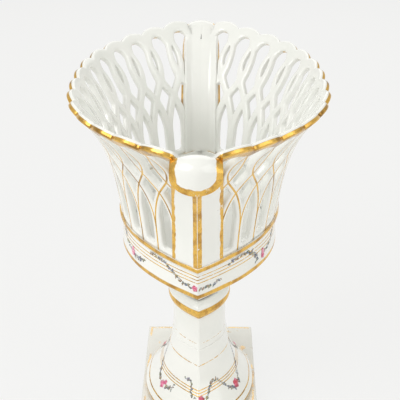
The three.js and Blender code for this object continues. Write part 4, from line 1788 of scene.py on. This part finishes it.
@dataclass(frozen=True)
class Studio:
    """Pale floor and soft lamps."""

    floor_colour: tuple[float, float, float] = (0.87, 0.87, 0.86)

    def build(self) -> None:
        """Adds the floor, the world and the lamps."""
        scene = bpy.context.scene
        scene.view_settings.view_transform = "Standard"
        self.floor()
        self.world()
        self.lamp("key", (-0.85, -0.6, 1.05), 0.9, 9.2)
        self.lamp("fill", (0.95, -0.6, 0.8), 1.1, 4.2)
        self.lamp("back", (0.1, 1.1, 1.0), 1.2, 3.5)

    def floor(self) -> None:
        """A wide pale floor that keeps the object's shadow."""
        half = 8.0
        signs = ((-1.0, -1.0), (1.0, -1.0), (1.0, 1.0), (-1.0, 1.0))
        corners = [Vector((x * half, y * half, 0.0)) for x, y in signs]
        plane = mesh_object("floor", corners, [(0, 1, 2, 3)])
        material, bench = new_material("floor")
        path = bench.node("ShaderNodeLightPath", None, None, "Is Camera Ray")
        seen = path.most(path.output("Is Glossy Ray"))
        matt = bench.node("ShaderNodeBsdfDiffuse", None, {"Color": self.floor_colour})
        glow = bench.node("ShaderNodeEmission", None, {"Color": (0.905, 0.905, 0.9), "Strength": 1.0})
        mixed = bench.node("ShaderNodeMixShader", None, {0: seen * 0.85, 1: matt, 2: glow})
        below = bench.node("ShaderNodeNewGeometry", None, None, "Backfacing")
        clear = bench.node("ShaderNodeBsdfTransparent")
        seen = bench.node("ShaderNodeMixShader", None, {0: below, 1: mixed, 2: clear})
        finish_material(material, bench, seen)
        plane.data.materials.append(material)

    @staticmethod
    def world() -> None:
        """Even pale surroundings."""
        world = bpy.data.worlds.new("studio")
        bpy.context.scene.world = world
        world.use_nodes = True
        world.node_tree.nodes.clear()
        bench = Bench(world.node_tree)
        light = bench.node("ShaderNodeBackground", None, {"Color": (1.0, 0.988, 0.93), "Strength": 0.62})
        seen = bench.node("ShaderNodeBackground", None, {"Color": (0.905, 0.905, 0.9), "Strength": 1.0})
        path = bench.node("ShaderNodeLightPath", None, None, "Is Camera Ray")
        output = world.node_tree.nodes.new("ShaderNodeOutputWorld")
        mixed = bench.node("ShaderNodeMixShader", None, {0: path, 1: light, 2: seen})
        bench.feed(output.inputs["Surface"], mixed)

    @staticmethod
    def lamp(name: str, place: tuple[float, float, float], size: float, power: float) -> None:
        """A square soft lamp that looks at the middle of the basket.

        Args:
            name: name of the lamp.
            place: where it hangs.
            size: length of its side.
            power: its watts.
        """
        data = bpy.data.lights.new(name, "AREA")
        data.shape = "SQUARE"
        data.size = size
        data.energy = power
        data.color = (0.97, 0.985, 1.0)
        lamp = new_object(name, data)
        lamp.location = place
        aim = Vector((0.0, 0.0, 0.17)) - Vector(place)
        lamp.rotation_euler = aim.to_track_quat("-Z", "Y").to_euler()


def new_material(name: str) -> tuple[bpy.types.Material, Bench]:
    """A material with an empty tree and the bench that writes it."""
    material = bpy.data.materials.new(name)
    material.use_nodes = True
    material.node_tree.nodes.clear()
    return material, Bench(material.node_tree)


def finish_material(material: bpy.types.Material, bench: Bench, shader: Wire) -> None:
    """Ends a material's tree with its output."""
    output = material.node_tree.nodes.new("ShaderNodeOutputMaterial")
    bench.feed(output.inputs["Surface"], shader)


def principled(
    material: bpy.types.Material, bench: Bench, sockets: dict[Union[int, str], Feed]
) -> bpy.types.Material:
    """Ends a material's tree with a Principled shader.

    Args:
        material: the material.
        bench: the bench that writes it.
        sockets: what feeds the shader.

    Returns:
        The material.
    """
    finish_material(material, bench, bench.node("ShaderNodeBsdfPrincipled", None, sockets))
    return material


@dataclass(frozen=True)
class Glaze:
    """Old white glaze: faint clouding, rare dark specks and a slightly uneven surface."""

    white: Colour = (0.87, 0.868, 0.835)
    cool: Colour = (0.83, 0.838, 0.80)
    speck: Colour = (0.30, 0.27, 0.22)
    roughness: float = 0.13

    def colour(self, bench: Bench) -> Wire:
        """Clouded white with rare specks."""
        place = bench.place()
        cloud = bench.noise(place, 22.0, 3.0, 0.6).rise(0.35, 0.7)
        base = bench.tint(cloud, self.white, self.cool)
        cells = {"Vector": place, "Scale": 210.0, "Randomness": 1.0}
        dots = bench.node("ShaderNodeTexVoronoi", {"feature": "F1"}, cells, "Distance")
        rare = bench.noise(place, 160.0, 1.0).rise(0.66, 0.7)
        return bench.tint(dots.fall(0.05, 0.1) * rare * 0.55, base, self.speck)

    def height(self, bench: Bench) -> Wire:
        """Unevenness of the surface, in shares of the bump's distance."""
        place = bench.place()
        return bench.noise(place, 60.0, 2.0) + bench.noise(place, 420.0, 2.0) * 0.12


@dataclass(frozen=True)
class Gilding:
    """Burnished gold, worn through in places and darker where it is thin."""

    bright: Colour = (0.86, 0.53, 0.12)
    deep: Colour = (0.52, 0.28, 0.065)
    soiled: Colour = (0.30, 0.17, 0.06)
    roughness: float = 0.24
    grain: float = 900.0
    patches: float = 110.0

    def colour(self, bench: Bench) -> Wire:
        """Gold from bright to deep."""
        place = bench.place()
        patch = bench.noise(place, self.patches, 4.0, 0.6).rise(0.44, 0.68)
        return bench.tint(patch, self.bright, self.deep)

    def kept(self, bench: Bench, wear: Number) -> Wire:
        """Where the gold has stayed: 1 on gold, 0 where the glaze shows through."""
        place = bench.place()
        flake = bench.noise(place, self.grain, 4.0, 0.7)
        patch = bench.noise(place, self.grain * 0.22, 3.0, 0.6)
        value = flake * 0.55 + patch * 0.45
        edge = 0.36 + 0.16 * wear if isinstance(wear, Wire) else 0.36 + 0.16 * float(wear)
        return value.rise(edge - 0.03, edge + 0.03)


@dataclass(frozen=True)
class Enamel:
    """Painter's colours of the garlands."""

    pale: Colour = (0.88, 0.52, 0.60)
    pink: Colour = (0.74, 0.12, 0.30)
    red: Colour = (0.56, 0.015, 0.05)
    leaves: tuple[tuple[float, Colour], ...] = (
        (0.0, (0.05, 0.08, 0.08)),
        (0.22, (0.17, 0.23, 0.17)),
        (0.42, (0.13, 0.19, 0.34)),
        (0.58, (0.36, 0.40, 0.10)),
        (0.75, (0.36, 0.43, 0.50)),
        (0.9, (0.33, 0.22, 0.08)),
    )

    def build(self) -> bpy.types.Material:
        """Makes the material."""
        material, bench = new_material("painted_enamel")
        tone = bench.attribute("tone")
        ramp = bench.node("ShaderNodeValToRGB", None, {"Fac": tone}, "Color")
        bench.set_stops(ramp.socket.node.color_ramp, self.leaves)
        deep = bench.tint(tone, self.pink, self.red)
        light = bench.tint(tone * 0.85, self.pale, self.pink)
        petals = bench.tint(bench.attribute("spiral").rise(0.15, 0.75), deep, light)
        brushed = bench.noise(bench.place(), 900.0, 2.0).rise(0.35, 0.7) * 0.25
        colour = bench.tint(bench.attribute("rose"), ramp, petals)
        sockets = {"Base Color": bench.tint(brushed, colour, self.pale), "Roughness": 0.3, "Coat Weight": 0.4}
        return principled(material, bench, sockets)


@dataclass
class Porcelain:
    """Glazed and gilded surface of a piece."""

    name: str
    mask: Optional[Callable[[Bench], Wire]] = None
    glaze: Glaze = field(default_factory=Glaze)
    gilding: Gilding = field(default_factory=Gilding)

    def build(self) -> bpy.types.Material:
        """Makes the material."""
        material, bench = new_material(self.name)
        colour: Feed = self.glaze.colour(bench)
        bump = self.glaze.height(bench)
        sockets: dict[Union[int, str], Feed] = {
            "Roughness": self.glaze.roughness,
            "Coat Weight": 0.5,
            "Coat Roughness": 0.06,
            "IOR": 1.52,
        }
        if self.mask is not None:
            gold = self.mask(bench)
            soil = bench.noise(bench.place(), 500.0, 3.0).rise(0.45, 0.75) * 0.35
            gilt = bench.tint(soil, self.gilding.colour(bench), self.gilding.soiled)
            colour = bench.tint(gold, colour, gilt)
            rough = bench.noise(bench.place(), 300.0, 2.0) * 0.16 + self.gilding.roughness - 0.08
            sockets["Roughness"] = self.glaze.roughness + (rough - self.glaze.roughness) * gold
            sockets["Metallic"] = gold * 0.92
            sockets["Coat Weight"] = (1.0 - gold) * 0.5
            bump = bump + gold * 0.25
        sockets["Base Color"] = colour
        sockets["Normal"] = bench.node(
            "ShaderNodeBump", None, {"Strength": 0.35, "Distance": 0.00035, "Height": bump}
        )
        return principled(material, bench, sockets)


@dataclass(frozen=True)
class Metal:
    """Old turned metal: fine turning marks, stains and a dull film in patches."""

    name: str
    bright: Colour
    stain: Colour
    roughness: float

    def build(self) -> bpy.types.Material:
        """Makes the material."""
        material, bench = new_material(self.name)
        place = bench.place()
        x, y, z = bench.split(place)
        radius = (x * x + y * y) ** 0.5
        marks = bench.noise(bench.join(radius * 60.0, z * 60.0, 0.0), 60.0, 2.0)
        film = bench.noise(place, 260.0, 4.0, 0.65).rise(0.38, 0.66)
        pits = bench.noise(place, 1500.0, 2.0).rise(0.62, 0.72) * 0.5
        colour = bench.tint(film.most(pits), self.bright, self.stain)
        sockets = {
            "Base Color": colour,
            "Metallic": 1.0 - film * 0.45,
            "Roughness": film * 0.3 + self.roughness + marks * 0.08,
            "Normal": bench.node(
                "ShaderNodeBump", None, {"Strength": 0.4, "Distance": 0.00015, "Height": marks - pits * 1.5}
            ),
        }
        return principled(material, bench, sockets)


@dataclass(frozen=True)
class Felt:
    """Pressed wool: short fibres over a mottled ground."""

    ground: Colour = (0.17, 0.15, 0.12)
    fibre: Colour = (0.36, 0.33, 0.27)

    def build(self) -> bpy.types.Material:
        """Makes the material."""
        material, bench = new_material("pressed_felt")
        place = bench.place()
        x, y, z = bench.split(place)
        one_way = bench.noise(bench.join(x, y * 0.25, z), 2600.0, 3.0, 0.7)
        other_way = bench.noise(bench.join(x * 0.25, y, z), 2300.0, 3.0, 0.7)
        hairs = one_way.most(other_way)
        mottle = bench.noise(place, 350.0, 2.0).rise(0.3, 0.7)
        colour = bench.tint(hairs.rise(0.48, 0.66) * (mottle * 0.5 + 0.5), self.ground, self.fibre)
        sockets = {
            "Base Color": colour,
            "Roughness": 0.95,
            "Sheen Weight": 0.4,
            "Normal": bench.node(
                "ShaderNodeBump", None, {"Strength": 0.6, "Distance": 0.0002, "Height": hairs}
            ),
        }
        return principled(material, bench, sockets)


def dress_fixings(nodes: dict[str, bpy.types.Object]) -> None:
    """Gives the bolt set, whose solids stay as they are, its metal and felt.

    Args:
        nodes: the CAD solids by name.
    """
    brass = Metal("aged_brass", (0.62, 0.44, 0.16), (0.20, 0.15, 0.06), 0.22).build()
    iron = Metal("dark_iron", (0.30, 0.29, 0.28), (0.15, 0.085, 0.05), 0.42).build()
    felt = Felt().build()
    for material, slot, names in (
        (brass, "old_brass", ("fixing_bolt", "bowl_washer")),
        (iron, "dull_iron", ("fixing_nut", "foot_washer")),
        (felt, "felt", ("bowl_felt", "neck_felt", "foot_felt")),
    ):
        for name in names:
            nodes[name].data.materials.clear()
            nodes[name].data.materials.append(material)


class Gilt:
    """Where each part of the basket is gilded, as masks from 0 to 1."""

    gilding = Gilding()

    @classmethod
    def band_line(cls, bench: Bench, z: Wire, level: float, half: float, wear: float) -> Wire:
        """A line at a height, with a hand-painted wobble and wear."""
        wobble = (bench.noise(bench.place(), 55.0, 1.0) - 0.5) * (half * 0.8)
        off = abs(z - level + wobble)
        return off.fall(half * 0.75, half * 1.15) * cls.gilding.kept(bench, wear)

    @staticmethod
    def outside(bench: Bench) -> Wire:
        """1 on faces that look away from the basket's upright middle line."""
        normal = bench.node("ShaderNodeNewGeometry", None, None, "True Normal")
        x, y, _ = bench.split(bench.place())
        return bench.vector("DOT_PRODUCT", normal, bench.join(x, y, 0.0), out="Value").rise(0.0, 0.0005)

    @classmethod
    def wall(cls, bench: Bench) -> Wire:
        """Thin lines along the members and the gilt rim, outside only."""
        depth = bench.split(bench.attribute("flat", "Vector"))[2]
        outside = depth.fall(0.3 * MM, 0.9 * MM)
        line = bench.attribute("line")
        thin = line.fall(0.5 * MM, 0.76 * MM) * cls.gilding.kept(bench, -0.3) * outside
        rim = bench.attribute("rim")
        wobble = (bench.noise(bench.place(), 90.0, 2.0) - 0.5) * (1.6 * MM)
        wide = (rim + wobble).fall(5.4 * MM, 5.8 * MM) * depth.fall(2.5 * MM, 3.1 * MM)
        return thin.most(wide * cls.gilding.kept(bench, -0.1))

    @classmethod
    def corner(cls, bench: Bench) -> Wire:
        """Stripe down the ridge, stripes at the sides and the gilt edge of the lobe.

        Args:
            bench: the material's bench.

        Returns:
            The mask.
        """
        place = bench.place()
        wobble = (bench.noise(place, 150.0, 2.0) - 0.5) * (1.5 * MM)
        ridge = bench.attribute("ridge") + wobble * 0.6
        border = bench.attribute("border") + wobble * 2.2
        rolled = bench.attribute("rolled")
        outside = bench.attribute("inside").fall(0.2, 0.6)
        upright = rolled.fall(0.005, 0.02)
        centre = ridge.fall(3.0 * MM, 3.4 * MM)
        # Along the very ridge the gold is thinned in patches, so a fine pale line shows down the middle of
        # the stripe.
        ridge_thinning = bench.attribute("ridge").fall(0.12 * MM, 0.34 * MM)
        patch = bench.noise(place, 70.0, 2.0).rise(0.42, 0.52)
        stripe = (centre * (1.0 - ridge_thinning * (0.35 + patch * 0.5))).most(border.fall(2.5 * MM, 3.0 * MM))
        tongue = border.fall(2.7 * MM, 3.2 * MM) * (1.0 - outside) * rolled.rise(0.14, 0.2)
        return (stripe * upright * outside).most(tongue) * cls.gilding.kept(bench, 0.1)

    @classmethod
    def band(cls, bench: Bench) -> Wire:
        """Broad lines at both fillets and three thin ones under the upper fillet."""
        z = bench.split(bench.place())[2]
        total = cls.band_line(bench, z, BAND_TOP - 1.6 * MM, 1.5 * MM, -0.1)
        total = total.most(cls.band_line(bench, z, BAND_FOOT + 2.1 * MM, 2.0 * MM, -0.1))
        for i in range(3):
            total = total.most(cls.band_line(bench, z, BAND_TOP - (8.2 + 2.3 * i) * MM, 0.32 * MM, 0.4))
        return total * cls.outside(bench)

    @classmethod
    def collar(cls, bench: Bench) -> Wire:
        """Gold over the collar's lower half."""
        z = bench.split(bench.place())[2]
        wobble = (bench.noise(bench.place(), 60.0, 1.0) - 0.5) * (1.0 * MM)
        line = (z + wobble).fall(COLLAR_FOOT + 8.7 * MM, COLLAR_FOOT + 9.2 * MM)
        return line * cls.gilding.kept(bench, -0.2)

    @classmethod
    def stem(cls, bench: Bench) -> Wire:
        """One worn thin line."""
        z = bench.split(bench.place())[2]
        return cls.band_line(bench, z, STEM_FOOT + 4.5 * MM, 0.3 * MM, 1.05) * cls.outside(bench)

    @classmethod
    def bell(cls, bench: Bench) -> Wire:
        """Three thin lines, one above the edge and the gilt edge itself."""
        z = bench.split(bench.place())[2]
        total = cls.band_line(bench, z, BELL_FOOT + 2.2 * MM, 1.5 * MM, 0.1)
        total = total.most(cls.band_line(bench, z, BELL_FOOT + 7.3 * MM, 0.4 * MM, 0.3))
        total = total.most(cls.band_line(bench, z, 53.5 * MM, 0.35 * MM, 0.75))
        for i in range(3):
            total = total.most(cls.band_line(bench, z, (34.6 + 1.65 * i) * MM, 0.3 * MM, 0.3))
        return total * cls.outside(bench)

    @classmethod
    def plinth(cls, bench: Bench) -> Wire:
        """Worn patches near the slab's upper edges."""
        x, y, z = bench.split(bench.place())
        inset = (45.0 * MM - abs(x)).least(71.0 * MM - abs(y))
        place = bench.place()
        drift = (bench.noise(place, 50.0, 1.0) - 0.5) * (5.0 * MM)
        stroke = abs(inset - 2.6 * MM + drift).fall(0.6 * MM, 1.1 * MM)
        stroke = stroke * bench.noise(place, 38.0, 1.0).rise(0.47, 0.52)
        patch = inset.fall(9.0 * MM, 13.0 * MM) * bench.noise(place, 95.0, 2.0).rise(0.64, 0.7)
        return stroke.most(patch) * z.rise(12.0 * MM, 13.0 * MM) * cls.gilding.kept(bench, 0.55) * 0.7


def build_basket() -> None:
    """Builds every sub-assembly in order."""
    bronzed = Gilding(deep=(0.36, 0.19, 0.04), patches=60.0)
    wall_finish = Porcelain("porcelain_pierced", Gilt.wall, gilding=bronzed).build()
    corner_finish = Porcelain("porcelain_corner", Gilt.corner).build()
    band_finish = Porcelain("porcelain_band", Gilt.band).build()
    plain_finish = Porcelain("porcelain_plain").build()
    collar_finish = Porcelain("porcelain_collar", Gilt.collar).build()
    stem_finish = Porcelain("porcelain_stem", Gilt.stem).build()
    bell_finish = Porcelain("porcelain_bell", Gilt.bell).build()
    # Painted shade: the plinth's glaze is painted greyer and darker than the white of the other pieces, for
    # the shade that falls on it.
    plinth_glaze_painted_shade = Glaze(white=(0.79, 0.78, 0.735), cool=(0.72, 0.72, 0.675))
    plinth_finish = Porcelain("porcelain_plinth", Gilt.plinth, plinth_glaze_painted_shade).build()
    right, left = PiercedWall().build(wall_finish)
    front, back = CornerPilaster().build(corner_finish)
    foot = Foot()
    pieces = [
        (right, "porcelain", ["wall_right"]),
        (left, "porcelain", ["wall_left"]),
        (front, "porcelain", ["corner_front"]),
        (back, "porcelain", ["corner_back"]),
        (GalleryBand().build(band_finish), "porcelain", ["gallery_band"]),
        (Underbody().build(plain_finish), "porcelain", ["underbody"]),
        (foot.collar(collar_finish), "gilt_porcelain", ["foot_collar"]),
        (foot.stem(stem_finish), "porcelain", ["foot_stem"]),
        (foot.bell(bell_finish), "porcelain", ["foot_bell"]),
        (foot.plinth(plinth_finish), "porcelain", ["plinth"]),
    ]
    enamel = Enamel().build()
    pieces += [(garland.build(enamel), "porcelain", []) for garland in garlands()]
    remove_helpers()
    for thing, slot, nodes in pieces:
        place_piece(thing, slot, nodes)


def remove_helpers() -> None:
    """Takes away the guide curves and flat templates."""
    for thing in list(bpy.data.objects):
        if thing.name.split(".")[0] in {"low", "high", "flat_cell", "leaf", "rose", "course", "seats"}:
            bpy.data.objects.remove(thing)


def main() -> None:
    """Loads the frame and builds the scene round it."""
    logging.basicConfig(level=logging.INFO, format="%(message)s")
    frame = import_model()
    Camera().build()
    Studio().build()
    build_basket()
    dress_fixings(frame["nodes"])


if __name__ == "__main__":
    main()
